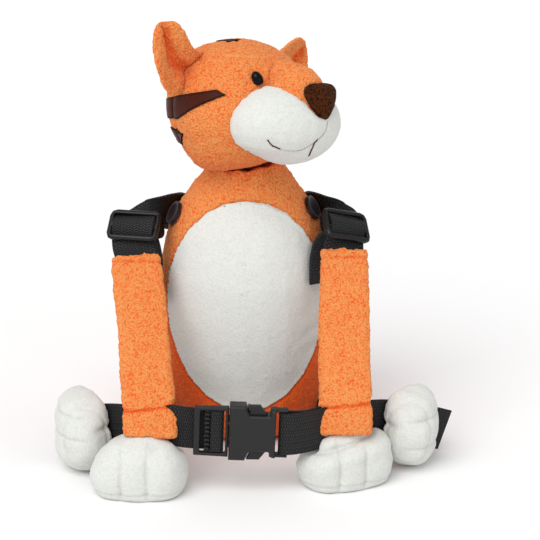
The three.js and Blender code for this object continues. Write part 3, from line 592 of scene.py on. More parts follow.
# The materials made so far, by name, and what makes each node group
MADE = {}
GROUPS = {"Pile": make_pile_group, "Herringbone": make_weave_group, "Moulded skin": make_mould_group}


def solid_colour(values):
    return (*values, 1.0)


def orange_pile():
    plush = settings("plush")
    return material_with(
        "orange_pile", "Pile",
        {"Tip": solid_colour(plush.orange), "Root": solid_colour(plush.orange_shaded), "Contrast": 2.3},
        0.75, 0.8 * MM, Roughness=0.95, Sheen_Weight=0.2, Sheen_Roughness=0.45,
        Sheen_Tint=(1.0, 0.62, 0.42, 1), Specular_IOR_Level=0.1)


def white_pile():
    plush = settings("plush")
    return material_with(
        "white_pile", "Pile",
        {"Tip": solid_colour(plush.white), "Root": solid_colour(plush.white_shaded), "Contrast": 0.9,
         "Loops": 800.0},
        0.35, 0.4 * MM, Roughness=0.97, Sheen_Weight=0.12, Sheen_Roughness=0.5,
        Specular_IOR_Level=0.1)


def nose_pile():
    plush = settings("plush")
    return material_with(
        "nose_pile", "Pile",
        {"Tip": solid_colour(plush.nose), "Root": solid_colour(plush.nose_shaded), "Contrast": 3.2},
        0.8, 0.6 * MM, Roughness=0.9, Sheen_Weight=0.08, Sheen_Roughness=0.4,
        Sheen_Tint=(0.6, 0.4, 0.25, 1), Specular_IOR_Level=0.1)


def satin():
    plush = settings("plush")
    # Darker satin for the stitched border and for painted shade in the side seam
    edge = tuple(0.3 * value for value in plush.satin)
    return material_with(
        "satin_patch", "Moulded skin",
        {"Color": solid_colour(plush.satin), "Edge": solid_colour(edge), "Roughness": 0.5,
         "Grain": 1500.0},
        0.35, 0.25 * MM, Specular_IOR_Level=0.12)


def plastic(name, colour, roughness, grain, bump, edge=None, coat=0.0, level=0.5):
    """Moulded plastic, with an edge that is lighter where no colour is given for it."""
    edge = edge or tuple(1.8 * value for value in colour)
    return material_with(
        name, "Moulded skin",
        {"Color": solid_colour(colour), "Edge": solid_colour(edge), "Roughness": roughness,
         "Grain": grain},
        bump, 0.1 * MM, Coat_Weight=coat, Coat_Roughness=0.08, Specular_IOR_Level=level)


def webbing_cloth():
    hardware = settings("hardware")
    return material_with(
        "woven_webbing", "Herringbone",
        {"Base": solid_colour(hardware.webbing), "Thread": solid_colour(hardware.webbing_light),
         "Columns": float(hardware.weave_columns)},
        0.9, 0.4 * MM, Specular_IOR_Level=0.25)


# Body

def make_torso():
    """The stuffed body, gathered at the neck, with a seam down its back."""
    torso = soft_copy("torso", "torso_plush", "torso")
    points = positions(torso.data)
    spots = points / MM
    side, rise = spots[:, 0], spots[:, 2]
    angle = np.arctan2(spots[:, 1], spots[:, 0])
    front = spots[:, 1] < 0
    out = np.full(len(spots), 0.4)
    out += 0.75 * groove(rise - NECK_GATHER, 9) * (np.cos(11 * angle + 0.8 * np.sin(3 * angle)) - 0.3)
    for fall, reach, depth in BODY_CREASES:
        line = rise - fall - 0.22 * (side - 34)
        out -= depth * groove(line, reach) * groove(side - 44, 13) * front
    back_seam = groove(side, 1.1) * (spots[:, 1] > 20)
    out -= 0.9 * back_seam * (rise > 6)
    out += 0.6 * noise(spots, 21, 17) * (rise > 8)
    panel = form_of(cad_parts["belly_panel"].data)
    near_panel = np.array([panel.find_nearest(Vector(point))[3] for point in points]) / MM
    seam = groove(near_panel, 1.6)
    out = out * (1 - seam) - 0.7 * seam
    to_right = 0.5 + 0.5 * np.tanh(side / 12)
    out += 0.8 * groove(rise - 150, 8) * to_right
    out -= 3.2 * np.clip((rise - 155) / 9, 0, 1) * (1 - to_right)
    out -= 3.0 * np.clip((rise - 160) / 7, 0, 1) * to_right
    flat = np.clip((rise - 0.5) / 6, 0, 1)
    # Painted shade low on the body's sides, below the head at the neck, along the belly seam and down the
    # back seam, with less of it on the chest
    low = np.clip((104 - rise) / 62, 0, 1) * np.clip((np.abs(side) + 10) / 40, 0, 1)
    chest = groove(rise - CHEST, 14) * front
    painted_shade = 0.95 * low - 0.35 * chest + 0.5 * groove(rise - NECK_SHADE, 7) + 0.35 * seam + 0.4 * back_seam
    form = raised(torso, out * flat * MM, terry(points) * flat * (1 - 0.8 * seam), painted_shade)
    return torso, form


def make_belly(form):
    """The white panel lies on the body's form and swells between its seams."""
    belly = soft_copy("belly_panel", "belly_plush", "belly_panel", levels=0)
    low, high = (np.array(corner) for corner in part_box("belly_panel"))
    middle, half = (low + high) / 2, (high - low) / 2
    lifted, directions, depth = heights_over(form, positions(belly.data))
    shift = (lifted[:, [0, 2]] - middle[[0, 2]]) / half[[0, 2]]
    inside = np.clip(1 - np.sqrt((shift ** 2).sum(axis=1)), 0, 1)
    swell = 1 - np.exp(-inside * 48 / 4.5)
    side, rise = lifted[:, 0] / MM, lifted[:, 2] / MM
    crease = np.zeros(len(lifted))
    for fall, reach, size in PANEL_CREASES:
        crease += size * groove(rise - fall - 0.3 * (side - 34), reach) * groove(side - 43, 10)
    outer = depth > 1.2 * MM
    height = np.where(outer, 1.5 + 1.7 * swell - crease + 0.3 * noise(lifted / MM, 16, 23), 0.35) * MM
    pile = fleece(lifted) * outer
    place(belly.data, lifted + directions * (height + pile)[:, None])
    keep_values(belly.data, "pile", 0.5 + 0.5 * pile / settings("plush").fleece_height)
    return belly


# Head

def make_head():
    """The stuffed head, with seams, sockets for the eyes, round cheeks and a full lower side."""
    head = soft_copy("head", "head_plush", "head")
    points = positions(head.data)
    spots = in_head(points) / MM
    side, ahead, up = spots.T
    out = 0.4 + 0.6 * noise(spots, 23, 29)
    side_seam = groove(ahead + SIDE_SEAM, 0.9) * (np.abs(side) > 12)
    out -= 1.2 * side_seam + 0.6 * groove(ahead + SIDE_SEAM, 3)
    back_seam = groove(side, 0.9) * (ahead < -SIDE_SEAM)
    out -= 0.9 * back_seam
    for sign in (-1, 1):
        socket = np.sqrt((side - sign * 18) ** 2 + (up - 18) ** 2)
        cheek = np.sqrt((side - sign * 32) ** 2 + (up + 12) ** 2)
        out += (1.2 * groove(cheek, 14) - 1.4 * groove(socket, 6.5)) * (ahead > 0)
    out -= 1.7 * np.clip((up - 22) / 14, 0, 1)
    from_middle = (points - np.array(head_frame()[0])) / MM
    aside, below = (from_middle[:, 0] + 21) / 17, (from_middle[:, 2] + 34) / 11
    out += 5.4 * np.exp(-aside ** 2 - below ** 2)
    # Painted shade in the side and back seams and under the head
    painted_shade = 0.35 * side_seam + 0.3 * back_seam + 0.3 * np.clip((-24 - up) / 14, 0, 1)
    form = raised(head, out * MM, terry(points), painted_shade)
    return head, form


def make_muzzle():
    """The white muzzle, with a seam for the mouth and a flatter near underside."""
    muzzle = soft_copy("muzzle", "muzzle_plush", "muzzle")
    spots = in_head(positions(muzzle.data)) / MM
    out = 0.35 + 0.3 * noise(spots, 15, 31)
    away = distances_to(smooth_line(MOUTH_SEAM, 60), spots)
    out -= 0.7 * groove(away, 1.0) + 0.5 * groove(away, 5)
    out -= 2.6 * np.clip((-19 - spots[:, 2]) / 7, 0, 1) * np.clip((-spots[:, 0] - 4) / 12, 0, 1)
    # Painted shade along the mouth's seam
    painted_shade = 0.25 * groove(away, 1.2)
    form = raised(muzzle, out * MM, fleece(positions(muzzle.data)), painted_shade)
    return muzzle, form


def make_bridge():
    """The orange bridge swells towards the nose."""
    bridge = soft_copy("muzzle_bridge", "bridge_plush", "muzzle_bridge")
    points = positions(bridge.data)
    spots = in_head(points) / MM
    swell = np.clip((spots[:, 1] - 34) / 14, 0, 1) * np.clip((spots[:, 2] - 6) / 10, 0, 1)
    out = 0.4 + 2.2 * swell + 0.3 * noise(spots, 12, 61)
    raised(bridge, out * MM, terry(points, 0.8))
    return bridge


def make_nose():
    """A patch of short pile that follows the muzzle's tip."""
    nose = soft_copy("nose", "nose_plush", "nose")
    spots = in_head(positions(nose.data)) / MM
    low, high = spots[:, 2].min(), spots[:, 2].max()
    share = (spots[:, 2] - low) / (high - low)
    _, side, ahead, _ = head_frame()
    back = 2.4 * (1 - share) * MM
    aside = (1.0 + 1.8 * (1 - share)) * MM
    moved = positions(nose.data) + np.array(side) * aside[:, None]
    place(nose.data, moved - np.array(ahead) * back[:, None])
    points = positions(nose.data)
    raised(nose, np.full(len(points), 0.35 * MM), terry(1.5 * points, 0.3))
    return nose


def distances_to(line, spots):
    """How far each spot is from the nearest point of a line."""
    tree = KDTree(len(line))
    for index, spot in enumerate(line):
        tree.insert(spot, index)
    tree.balance()
    return np.array([tree.find(spot)[2] for spot in spots])


# Each ear in its own directions, across and along, in millimetres: how high it stands, how its
# widths below and above change along it, how far its tip leans, and its fold
EAR_SHAPES = {
    "left": {"sign": -1, "rise": 18, "below": ((3, 13), (1.0, 1.36)),
             "above": ((0, 6, 13, 20, 27, 36), (0.9, 0.58, 0.5, 0.5, 0.62, 0.8)), "lean": 5.0,
             "fold": ((2, -2.5), (23, -3), (38, 5)), "depth": 4.5},
    "right": {"sign": 1, "rise": 12, "below": ((3, 11), (1.0, 0.8)),
              "above": ((3, 11), (1.0, 1.0)), "lean": 0.0,
              "fold": ((2, 2), (23, 2), (38, 0)), "depth": 3.5},
}
EAR_ROOT = 33
EAR_SPLAY = math.radians(60)


def make_ear(name):
    """A cupped ear, narrowed on one side and folded along its middle."""
    ear = soft_copy(f"ear_{name}", f"ear_{name}_plush", "ear")
    shape = EAR_SHAPES[name]
    turn = shape["sign"] * EAR_SPLAY
    spots = in_head(positions(ear.data)) / MM
    out_x = spots[:, 0] - shape["sign"] * EAR_ROOT
    out_z = spots[:, 2] - shape["rise"]
    across = out_x * math.cos(turn) - out_z * math.sin(turn)
    along = out_x * math.sin(turn) + out_z * math.cos(turn)
    ahead = spots[:, 1].copy()
    fold = np.interp(along, *zip(*shape["fold"]))
    free = np.clip((along - 2) / 8, 0, 1)
    valley = groove(across - fold, 3.6) * np.clip((along + 2) / 6, 0, 1) * np.clip((40 - along) / 7, 0, 1)
    ahead -= shape["depth"] * valley
    rim = np.clip(np.abs(across - fold) / 14, 0, 1)
    ahead += 1.2 * rim * free
    below, above = np.interp(along, *shape["below"]), np.interp(along, *shape["above"])
    across *= np.where(across < 0, below, above)
    across += shape["lean"] * np.clip((along - 14) / 18, 0, 1)
    moved_x = across * math.cos(turn) + along * math.sin(turn) + shape["sign"] * EAR_ROOT
    moved_z = -across * math.sin(turn) + along * math.cos(turn) + shape["rise"]
    middle, *axes = head_frame()
    moved = np.stack((moved_x, ahead, moved_z), axis=1) * MM
    place(ear.data, np.array(middle) + moved @ np.array(axes))
    points = positions(ear.data)
    out = 0.35 + 0.4 * noise(points / MM, 9, 37)
    # Painted shade in the ear's cupped valley and at its root
    raised(ear, out * MM, terry(points, 0.85), 0.6 * valley + 0.25 * groove(along, 5))
    return ear


def make_stripe(node, form):
    """Satin that lies on the head, with a satin-stitched border round it."""
    stripe = soft_copy(node, f"{node}_satin", "stripe", levels=0)
    mesh = stripe.data
    spots, out = positions(mesh), normals(mesh)
    if node == "crown_stripe":
        middle = spots.mean(axis=0)
        spots = middle + (spots - middle) * CROWN_SIZE + np.array(CROWN_SHIFT) * MM
    if node == "lower_stripe_left":
        spots += np.array(LOWER_SHIFT) * MM
    _, _, over = heights_over(form_of(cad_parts["head"].data), positions(mesh))
    lifted, directions, _ = heights_over(form, spots)
    wall = np.abs((out * directions).sum(axis=1)) < 0.55
    away = distances_to(spots[wall], spots) / MM
    border = np.clip(1.25 - away / 1.5, 0, 1)
    ahead = in_head(spots)[:, 1] / MM
    seam = groove(ahead + SIDE_SEAM, 0.6)
    stitches = 0.5 + 0.5 * np.sin((spots[:, 0] + spots[:, 2] - spots[:, 1]) / (0.16 * MM))
    share = np.clip((over / MM - 0.3) / 1.0, 0, 1)
    height = -0.5 + share * (1.35 + border * (0.22 + 0.15 * stitches) - 0.5 * seam)
    height *= CROWN_HEIGHT if node == "crown_stripe" else 1.0
    place(mesh, lifted + directions * (height * MM)[:, None])
    # Edge colour: darker along the stitched border, and painted shade where the head's side seam crosses
    # the stripe
    keep_values(mesh, "edge", np.clip(border + seam, 0, 1))
    return stripe


def surface_line(points, form, lift, count):
    """A smooth line laid on a form, at a height over it."""
    line = []
    for point in smooth_line(points, count):
        found, normal, _, _ = form.find_nearest(from_head(point))
        line.append(found + normal * lift)
    return line


# Sleeves and paws

# Shares of the way down each sleeve, with its width there and how far it moves aside
SLEEVE_SHAPES = {
    "left": {"down": (0, 0.4, 0.78, 0.86, 1), "width": (1.0, 1.01, 1.02, 1.06, 1.05),
             "aside": (0, 0.9, 2.1, 2.2, 1.4)},
    "right": {"down": (0, 0.4, 0.78, 0.85, 0.92, 1), "width": (0.94, 1.0, 1.02, 1.12, 1.1, 1.05),
              "aside": (0, 0.0, -0.4, -1.3, -1.1, -0.8)},
}


def make_sleeve(name):
    """A flat padded sleeve with a stitched top, a ragged edge and a seam across its lower part."""
    sleeve = soft_copy(f"arm_sleeve_{name}", f"sleeve_{name}_plush", "sleeve")
    points = positions(sleeve.data)
    low, high = points.min(axis=0), points.max(axis=0)
    share = (high[2] - points[:, 2]) / (high[2] - low[2])
    shape = SLEEVE_SHAPES[name]
    size = np.interp(share, shape["down"], shape["width"])
    aside = np.interp(share, shape["down"], shape["aside"]) * MM
    line = np.interp(points[:, 2], *middle_line(points))
    points[:, 0] = line + (points[:, 0] - line) * size + aside
    place(sleeve.data, points)
    spots = points / MM
    direction = np.array((0, 0.66, 0.75))
    along = spots @ direction
    along -= along.max()
    out = -0.15 + 0.45 * noise(spots, 17, 41 + len(name)) + 0.2 * noise(spots, 8, 43)
    out -= 0.8 * groove(along + 6, 0.8)
    seam = spots[:, 2] - low[2] / MM - 17.5 - 0.1 * (spots[:, 0] - line / MM)
    lower = spots[:, 1] < -70
    out += (-1.1 * groove(seam, 0.8) - 0.3 * groove(seam, 3) + 0.5 * groove(seam - 6, 4)) * lower
    ragged = np.clip(1 + along / 2.2, 0, 1)
    out += ragged * 1.1 * noise(spots, 1.9, 47)
    # Painted shade in the lower cross seam and along the stitched top
    painted_shade = 0.75 * groove(seam, 1.0) * lower + 0.3 * groove(along + 6, 0.9)
    raised(sleeve, out * MM, terry(points), painted_shade)
    return sleeve


def middle_line(points):
    """Heights, and the middle of the points from side to side at each."""
    heights = np.linspace(points[:, 2].min(), points[:, 2].max(), 14)
    middles = []
    for height in heights:
        near = points[np.abs(points[:, 2] - height) < 6 * MM][:, 0]
        middles.append((near.min() + near.max()) / 2)
    return heights, middles


# Paws: how each stands and where its toes part, in millimetres from its middle
FRONT_PAWS = {"left": {"turn": 3, "toes": (-8.6, 6.4), "lean": 3.0, "crease": 0.0},
              "right": {"turn": -22, "toes": (-10.5, 5.5), "lean": 1.0, "crease": 1.9}}
REAR_PAWS = {"left": {"sign": -1, "toes": (0.5, 13.5)}, "right": {"sign": 1, "toes": (-8.0, 9.0)}}


def toe_dents(across, toes):
    """Narrow seams between the toes in wider dents."""
    seams = sum(groove(across - toe, 0.9) for toe in toes)
    dents = sum(groove(across - toe, 3.2) for toe in toes)
    return seams, dents


def make_front_paw(name):
    """A stuffed paw that stands flat, with seams between its toes and round its sole."""
    paw = soft_copy(f"front_paw_{name}", f"front_paw_{name}_plush", "paw")
    shape = FRONT_PAWS[name]
    points = positions(paw.data)
    middle = (points.min(axis=0) + points.max(axis=0)) / 2
    upper = np.clip((points[:, 2] / MM - 10) / 24, 0, 1)
    narrowed = (points[:, 0] - middle[0]) * (1 - 0.07 * upper)
    points[:, 0] = middle[0] + narrowed + shape["lean"] * upper * MM
    place(paw.data, points)
    spots = points / MM
    shift = spots - middle / MM
    turn = math.radians(shape["turn"])
    across = shift[:, 0] * math.cos(turn) - shift[:, 1] * math.sin(turn)
    ahead = -(shift[:, 0] * math.sin(turn) + shift[:, 1] * math.cos(turn))
    rise = spots[:, 2]
    out = 0.3 + 0.8 * noise(spots, 14, 53 + len(name))
    forward = np.clip((ahead - 4) / 6, 0, 1)
    seams, dents = toe_dents(across, shape["toes"])
    out -= (1.0 * seams + 1.1 * dents) * forward * np.clip((31 - rise) / 10, 0, 1)
    sole = groove(rise - 4.5, 0.9)
    out -= 0.7 * sole
    fold = rise - 23 - 0.22 * (spots[:, 0] - 32)
    crease = shape["crease"] * (ahead > -4)
    out += crease * (0.8 * groove(fold + 8, 5) - groove(fold, 1.5) - 0.5 * groove(fold, 4))
    grounded = np.clip((rise - 0.2) / 3, 0, 1)
    # Painted shade in the seams between the toes, round the sole and in the crease
    painted_shade = 0.25 * (seams * forward + sole) + 0.1 * crease * groove(fold, 1.6)
    raised(paw, out * grounded * MM, fleece(points) * grounded, painted_shade)
    return paw


def make_rear_paw(name):
    """A stuffed paw on its side, with toes that point outwards."""
    paw = soft_copy(f"rear_paw_{name}", f"rear_paw_{name}_plush", "paw")
    shape = REAR_PAWS[name]
    points = positions(paw.data)
    spots = points / MM
    low, high = spots.min(axis=0), spots.max(axis=0)
    middle = (low + high) / 2
    outward = shape["sign"] * (spots[:, 0] - middle[0])
    rise = spots[:, 2]
    out = 0.2 + 1.5 * noise(spots, 15, 59 + len(name)) + 0.5 * noise(spots, 7, 67)
    forward = np.clip((outward + 6) / 8, 0, 1)
    seams, dents = toe_dents(rise - middle[2], shape["toes"])
    out -= (0.7 * seams + 0.45 * dents) * forward
    edge = groove(spots[:, 1] - low[1] - 7, 1.0) * (rise > 5)
    out -= 0.6 * edge
    pinch = groove(rise - middle[2] - 6, 2.2) * groove(outward + 15, 6)
    out -= 1.8 * pinch
    grounded = np.clip((rise - 0.4) / 3, 0, 1)
    # Painted shade in the toe seams, along the edge seam and in the pinch
    painted_shade = 0.25 * (seams * forward + 0.6 * edge) + 0.2 * pinch
    raised(paw, out * grounded * MM, fleece(points) * grounded, painted_shade)
    return paw


# Webbing

def ribbon_rings(node):
    """The middle, the direction across and the direction out of each ring of a frame ribbon."""
    mesh = bmesh.new()
    mesh.from_mesh(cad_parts[node].data)
    bmesh.ops.remove_doubles(mesh, verts=mesh.verts, dist=1e-7)
    mesh.verts.index_update()
    near = lambda edge, size: abs(edge.calc_length() - size) < 2e-6
    thin = [edge for edge in mesh.edges if near(edge, WEBBING_THICKNESS)]
    owner = {}
    rings = []
    for edge in thin:
        first, second = edge.verts
        if first in owner or second in owner:
            continue
        direction = (second.co - first.co).normalized()
        for wide in first.link_edges:
            third = wide.other_vert(first)
            if not near(wide, WEBBING_WIDTH) or third in owner:
                continue
            across_ends = (e.other_vert(third) for e in third.link_edges if near(e, WEBBING_THICKNESS))
            fourth = next((end for end in across_ends
                           if (end.co - third.co).normalized().dot(direction) > 0.9999), None)
            if fourth is None or abs((third.co - first.co).dot(direction)) > 2e-6:
                continue
            ring = (first, second, fourth, third)
            for vertex in ring:
                owner[vertex] = len(rings)
            rings.append(ring)
            break
    neighbours = [set() for _ in rings]
    for edge in mesh.edges:
        ends = [owner.get(vertex) for vertex in edge.verts]
        if None not in ends and ends[0] != ends[1]:
            neighbours[ends[0]].add(ends[1])
            neighbours[ends[1]].add(ends[0])
    start = next(index for index, near_by in enumerate(neighbours) if len(near_by) == 1)
    order = [start]
    while True:
        following = [index for index in neighbours[order[-1]] if index not in order]
        if not following:
            break
        order.append(following[0])
    if len(order) != len(rings):
        raise RuntimeError(f"{node} isn't one ribbon: {len(order)} of {len(rings)} rings")
    found = []
    for index in order:
        first, second, fourth, third = rings[index]
        middle = (first.co + second.co + third.co + fourth.co) / 4
        across = (third.co - first.co).normalized()
        out = (second.co - first.co).normalized()
        if found:
            if across.dot(Vector(found[-1][1])) < 0:
                across = -across
            if out.dot(Vector(found[-1][2])) < 0:
                out = -out
        found.append((tuple(middle), tuple(across), tuple(out)))
    mesh.free()
    return np.array(found)


# The webbing's cross-section: place across, as a share of half the width, and half thickness share
SELVEDGE = ((-1.0, 0.45), (-0.985, 0.85), (-0.95, 1.0), (-0.9, 0.82), (-0.6, 0.8), (-0.2, 0.8),
            (0.2, 0.8), (0.6, 0.8), (0.9, 0.82), (0.95, 1.0), (0.985, 0.85), (1.0, 0.45))


def make_webbing(node, name):
    """A woven strap along a frame ribbon, with thick selvedges and coordinates for its weave."""
    rings = ribbon_rings(node)
    length = np.linalg.norm(np.diff(rings[:, 0], axis=0), axis=1).sum()
    count = int(length / (1.25 * MM)) + 2
    middles, acrosses, outs = (smooth_line(rings[:, part], count) for part in range(3))
    travelled = np.concatenate(((0,), np.cumsum(np.linalg.norm(np.diff(middles, axis=0), axis=1))))
    section = [(a, b) for a, b in SELVEDGE] + [(a, -b) for a, b in reversed(SELVEDGE)]
    mesh = bmesh.new()
    uv = mesh.loops.layers.uv.new("weave")
    places = {}
    rows = []
    for index in range(count):
        across = Vector(acrosses[index]).normalized()
        out = Vector(outs[index]).normalized()
        row = []
        for a, b in section:
            shift = across * (a * WEBBING_WIDTH / 2) + out * (b * WEBBING_THICKNESS / 2)
            vertex = mesh.verts.new(Vector(middles[index]) + shift)
            places[vertex] = (travelled[index] / MM, 0.5 + 0.5 * a)
            row.append(vertex)
        rows.append(row)
    for first, second in zip(rows, rows[1:]):
        for side in range(len(section)):
            after = (side + 1) % len(section)
            mesh.faces.new((first[side], first[after], second[after], second[side]))
    half = len(SELVEDGE)
    for row in (rows[0], rows[-1]):
        for side in range(half - 1):
            mesh.faces.new((row[side], row[side + 1], row[-2 - side], row[-1 - side]))
    for face in mesh.faces:
        face.smooth = True
        for loop in face.loops:
            loop[uv].uv = places[loop.vert]
    bmesh.ops.recalc_face_normals(mesh, faces=mesh.faces)
    data = bpy.data.meshes.new(name)
    mesh.to_mesh(data)
    mesh.free()
    return link(data, name)


# Operators

class HARNESS_OT_body(bpy.types.Operator):
    """Make the stuffed body and its white belly panel"""
    bl_idname = "harness.body"
    bl_label = "Body"

    def execute(self, context):
        torso, form = make_torso()
        belly = make_belly(form)
        finished(torso, "torso", orange_pile())
        finished(belly, "belly_panel", white_pile())
        return {'FINISHED'}


class HARNESS_OT_head(bpy.types.Operator):
    """Make the stuffed head with its muzzle, ears, nose, eyes and satin stripes"""
    bl_idname = "harness.head"
    bl_label = "Head"

    def execute(self, context):
        head, head_form = make_head()
        muzzle, muzzle_form = make_muzzle()
        finished(head, "head", orange_pile())
        finished(muzzle, "muzzle", white_pile())
        bridge = finished(make_bridge(), "muzzle_bridge", orange_pile())
        nose = finished(make_nose(), "nose", nose_pile())
        for side in SIDES:
            ear = finished(make_ear(side), f"ear_{side}", orange_pile())
            eye = self.make_eye(side)
            gloss = plastic("eye_gloss", EYE_BLACK, 0.12, 300, 0.02, level=0.12)
            finished(eye, f"eye_{side}", gloss)
            for node in (f"upper_stripe_{side}", f"lower_stripe_{side}"):
                finished(make_stripe(node, head_form), node, satin())
        finished(make_stripe("crown_stripe", head_form), "crown_stripe", satin())
        self.embroider(muzzle_form)
        return {'FINISHED'}

    def make_eye(self, name):
        """A flat oval bead that leans outwards."""
        eye = soft_copy(f"eye_{name}", f"eye_{name}_bead", "eye")
        spots = in_head(positions(eye.data))
        middle = spots.mean(axis=0)
        sign = -1 if name == "left" else 1
        narrow = np.array((-sign * 0.906, 0.0, 0.423))
        spread = spots - middle
        spread -= 0.27 * (spread @ narrow)[:, None] * narrow
        spread += 0.08 * spread[:, 2:] * np.array((0.0, 0.0, 1.0))
        moved = middle + spread + np.array((sign * 1.9, -0.9, 0.3)) * MM
        head_middle, *axes = head_frame()
        place(eye.data, np.array(head_middle) + moved @ np.array(axes))
        return eye

    def embroider(self, form):
        """The mouth's seam and the two lines of the smile."""
        grey = plastic("seam_thread", THREAD_GREY, 0.7, 900, 0.1)
        seam = tube(surface_line(MOUTH_SEAM, form, 0.05 * MM, 90), SEAM_THREAD, "muzzle_seam_thread")
        seam.data.materials.append(grey)
        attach(seam, "root")
        for name, points in (("smile_left", SMILE_LEFT), ("smile_right", SMILE_RIGHT)):
            line = surface_line(points, form, 0.25 * MM, 64)
            thread = tube(line, SMILE_THREAD, f"{name}_thread")
            thread.data.materials.append(satin())
            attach(thread, "root")


class HARNESS_OT_arms(bpy.types.Operator):
    """Make the sleeves round the shoulder straps, the front paws and the rear paws"""
    bl_idname = "harness.arms"
    bl_label = "Arms and paws"

    def execute(self, context):
        for side in SIDES:
            sleeve = finished(make_sleeve(side), f"arm_sleeve_{side}", orange_pile())
            front = finished(make_front_paw(side), f"front_paw_{side}", white_pile())
            rear = finished(make_rear_paw(side), f"rear_paw_{side}", white_pile())
        return {'FINISHED'}


class HARNESS_OT_webbing(bpy.types.Operator):
    """Make the shoulder straps, their loose ends, the belt and the hip straps"""
    bl_idname = "harness.webbing"
    bl_label = "Webbing"

    def execute(self, context):
        for side in SIDES:
            for kind in ("shoulder_strap", "strap_tail", "belt", "hip_strap"):
                node = f"{kind}_{side}"
                finished(make_webbing(node, f"{node}_woven"), node, webbing_cloth())
        return {'FINISHED'}


class HARNESS_OT_plastic(bpy.types.Operator):
    """Make the sliders, the shoulder discs and the buckle"""
    bl_idname = "harness.plastic"
    bl_label = "Sliders, discs and buckle"

    def execute(self, context):
        hardware = settings("hardware")
        for side in SIDES:
            slider = soft_copy(f"slider_{side}", f"slider_{side}_moulded", "slider", levels=0)
            place(slider.data, positions(slider.data) + normals(slider.data) * SLIDER_SWELL)
            gloss = plastic("slider_gloss", hardware.slider, 0.25, 500, 0.05, coat=0.15, level=0.2)
            finished(slider, f"slider_{side}", gloss)
            disc = soft_copy(f"snap_disc_{side}", f"snap_disc_{side}_moulded", "disc", levels=0)
            self.rim(disc)
            rimmed = plastic("disc_satin", hardware.disc, 0.35, 500, 0.08, edge=DISC_RIM_HIGHLIGHT, level=0.15)
            finished(disc, f"snap_disc_{side}", rimmed)
        for half in ("male", "female"):
            part = soft_copy(f"buckle_{half}", f"buckle_{half}_moulded", "buckle", levels=0)
            matt = plastic("buckle_matt", hardware.buckle, 0.48, 1400, 0.25, level=0.35)
            finished(part, f"buckle_{half}", matt)
        return {'FINISHED'}

    def rim(self, disc):
        """Paints a highlight on the disc's rounded rim, where it catches the light."""
        spots = positions(disc.data)
        spread = spots - spots.mean(axis=0)
        axis = np.linalg.svd(spread, full_matrices=False)[2][2]
        radius = np.linalg.norm(spread - (spread @ axis)[:, None] * axis, axis=1) / MM
        keep_values(disc.data, "edge", 0.6 * groove(radius - DISC_RIM_RADIUS, 0.4))


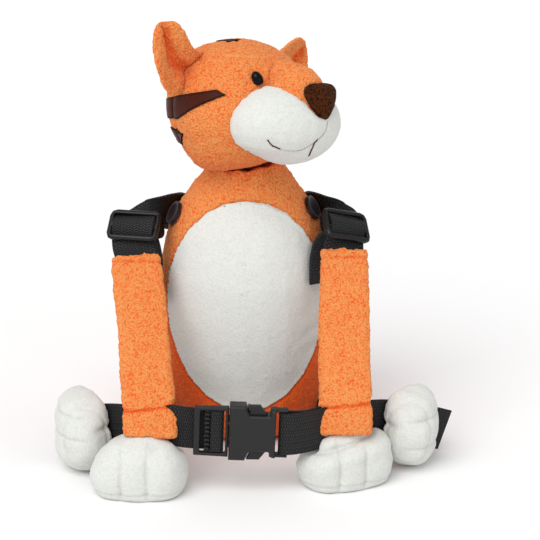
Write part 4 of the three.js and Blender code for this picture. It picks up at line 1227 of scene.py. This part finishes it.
class HARNESS_OT_stage(bpy.types.Operator):
    """Set the pale floor, the soft lights and the camera"""
    bl_idname = "harness.stage"
    bl_label = "Stage"

    def execute(self, context):
        stage = settings("stage")
        half = stage.floor_size / 2
        data = bpy.data.meshes.new("floor")
        corners = ((-half, -half, 0), (half, -half, 0), (half, half, 0), (-half, half, 0))
        data.from_pydata(corners, (), ((0, 1, 2, 3),))
        floor = link(data, "floor")
        paint = bpy.data.materials.new("floor_paint")
        paint.use_nodes = True
        skin = paint.node_tree.nodes["Principled BSDF"]
        skin.inputs["Base Color"].default_value = solid_colour(stage.floor)
        skin.inputs["Roughness"].default_value = 0.9
        skin.inputs["Specular IOR Level"].default_value = 0.1
        data.materials.append(paint)
        key = bpy.data.lights.new("key", 'SUN')
        key.energy = stage.key_strength
        key.angle = stage.key_spread
        self.hang(key, KEY_PLACE)
        glint = bpy.data.lights.new("glint", 'AREA')
        glint.energy = stage.glint_power
        glint.size = GLINT_SIZE
        self.hang(glint, GLINT_PLACE)
        world = bpy.data.worlds.new("white room")
        world.use_nodes = True
        background = world.node_tree.nodes["Background"]
        background.inputs["Color"].default_value = (1, 1, 1, 1)
        background.inputs["Strength"].default_value = stage.sky
        context.scene.world = world
        context.scene.view_settings.view_transform = 'Standard'
        self.camera(context)
        return {'FINISHED'}

    def hang(self, data, spot):
        """Hangs a light that looks at the object."""
        lamp = bpy.data.objects.new(data.name, data)
        lamp.matrix_world = looking(Vector(spot), CAMERA_TARGET)
        bpy.context.scene.collection.objects.link(lamp)

    def camera(self, context):
        """Stands the camera where the object is seen from."""
        data = bpy.data.cameras.new("camera")
        data.sensor_width = SENSOR
        data.lens = CAMERA_FOCAL_PIXELS / IMAGE_SIZE * SENSOR
        data.clip_end = 100
        camera = bpy.data.objects.new("camera", data)
        away = Vector((0, -math.cos(CAMERA_RISE), math.sin(CAMERA_RISE)))
        camera.matrix_world = looking(CAMERA_TARGET + away * CAMERA_DISTANCE, CAMERA_TARGET)
        context.scene.collection.objects.link(camera)
        context.scene.camera = camera


def looking(spot, target):
    """Stands something at a spot and turns it to a target."""
    turn = (target - spot).to_track_quat('-Z', 'Y')
    return Matrix.Translation(spot) @ turn.to_matrix().to_4x4()


class HARNESS_PT_panel(bpy.types.Panel):
    """Lists the pieces and their settings"""
    bl_idname = "HARNESS_PT_panel"
    bl_label = "Plush harness backpack"
    bl_space_type = 'VIEW_3D'
    bl_region_type = 'UI'
    bl_category = "Backpack"

    def draw(self, context):
        for operator in OPERATORS:
            self.layout.operator(operator.bl_idname)
        for kind, group in GROUPS_OF_SETTINGS.items():
            box = self.layout.box()
            for name in group.__annotations__:
                box.prop(settings(kind), name)


OPERATORS = (HARNESS_OT_stage, HARNESS_OT_body, HARNESS_OT_head, HARNESS_OT_arms, HARNESS_OT_webbing,
             HARNESS_OT_plastic)
GROUPS_OF_SETTINGS = {"plush": PlushSettings, "hardware": HardwareSettings, "stage": StageSettings}
CLASSES = (*GROUPS_OF_SETTINGS.values(), *OPERATORS, HARNESS_PT_panel)


def register():
    for cls in CLASSES:
        bpy.utils.register_class(cls)
    for kind, group in GROUPS_OF_SETTINGS.items():
        setattr(bpy.types.Scene, kind, PointerProperty(type=group))


def unregister():
    for kind in GROUPS_OF_SETTINGS:
        delattr(bpy.types.Scene, kind)
    for cls in reversed(CLASSES):
        bpy.utils.unregister_class(cls)


def main():
    register()
    for operator in OPERATORS:
        group, name = operator.bl_idname.split(".")
        getattr(getattr(bpy.ops, group), name)()


if __name__ == "__main__":
    main()
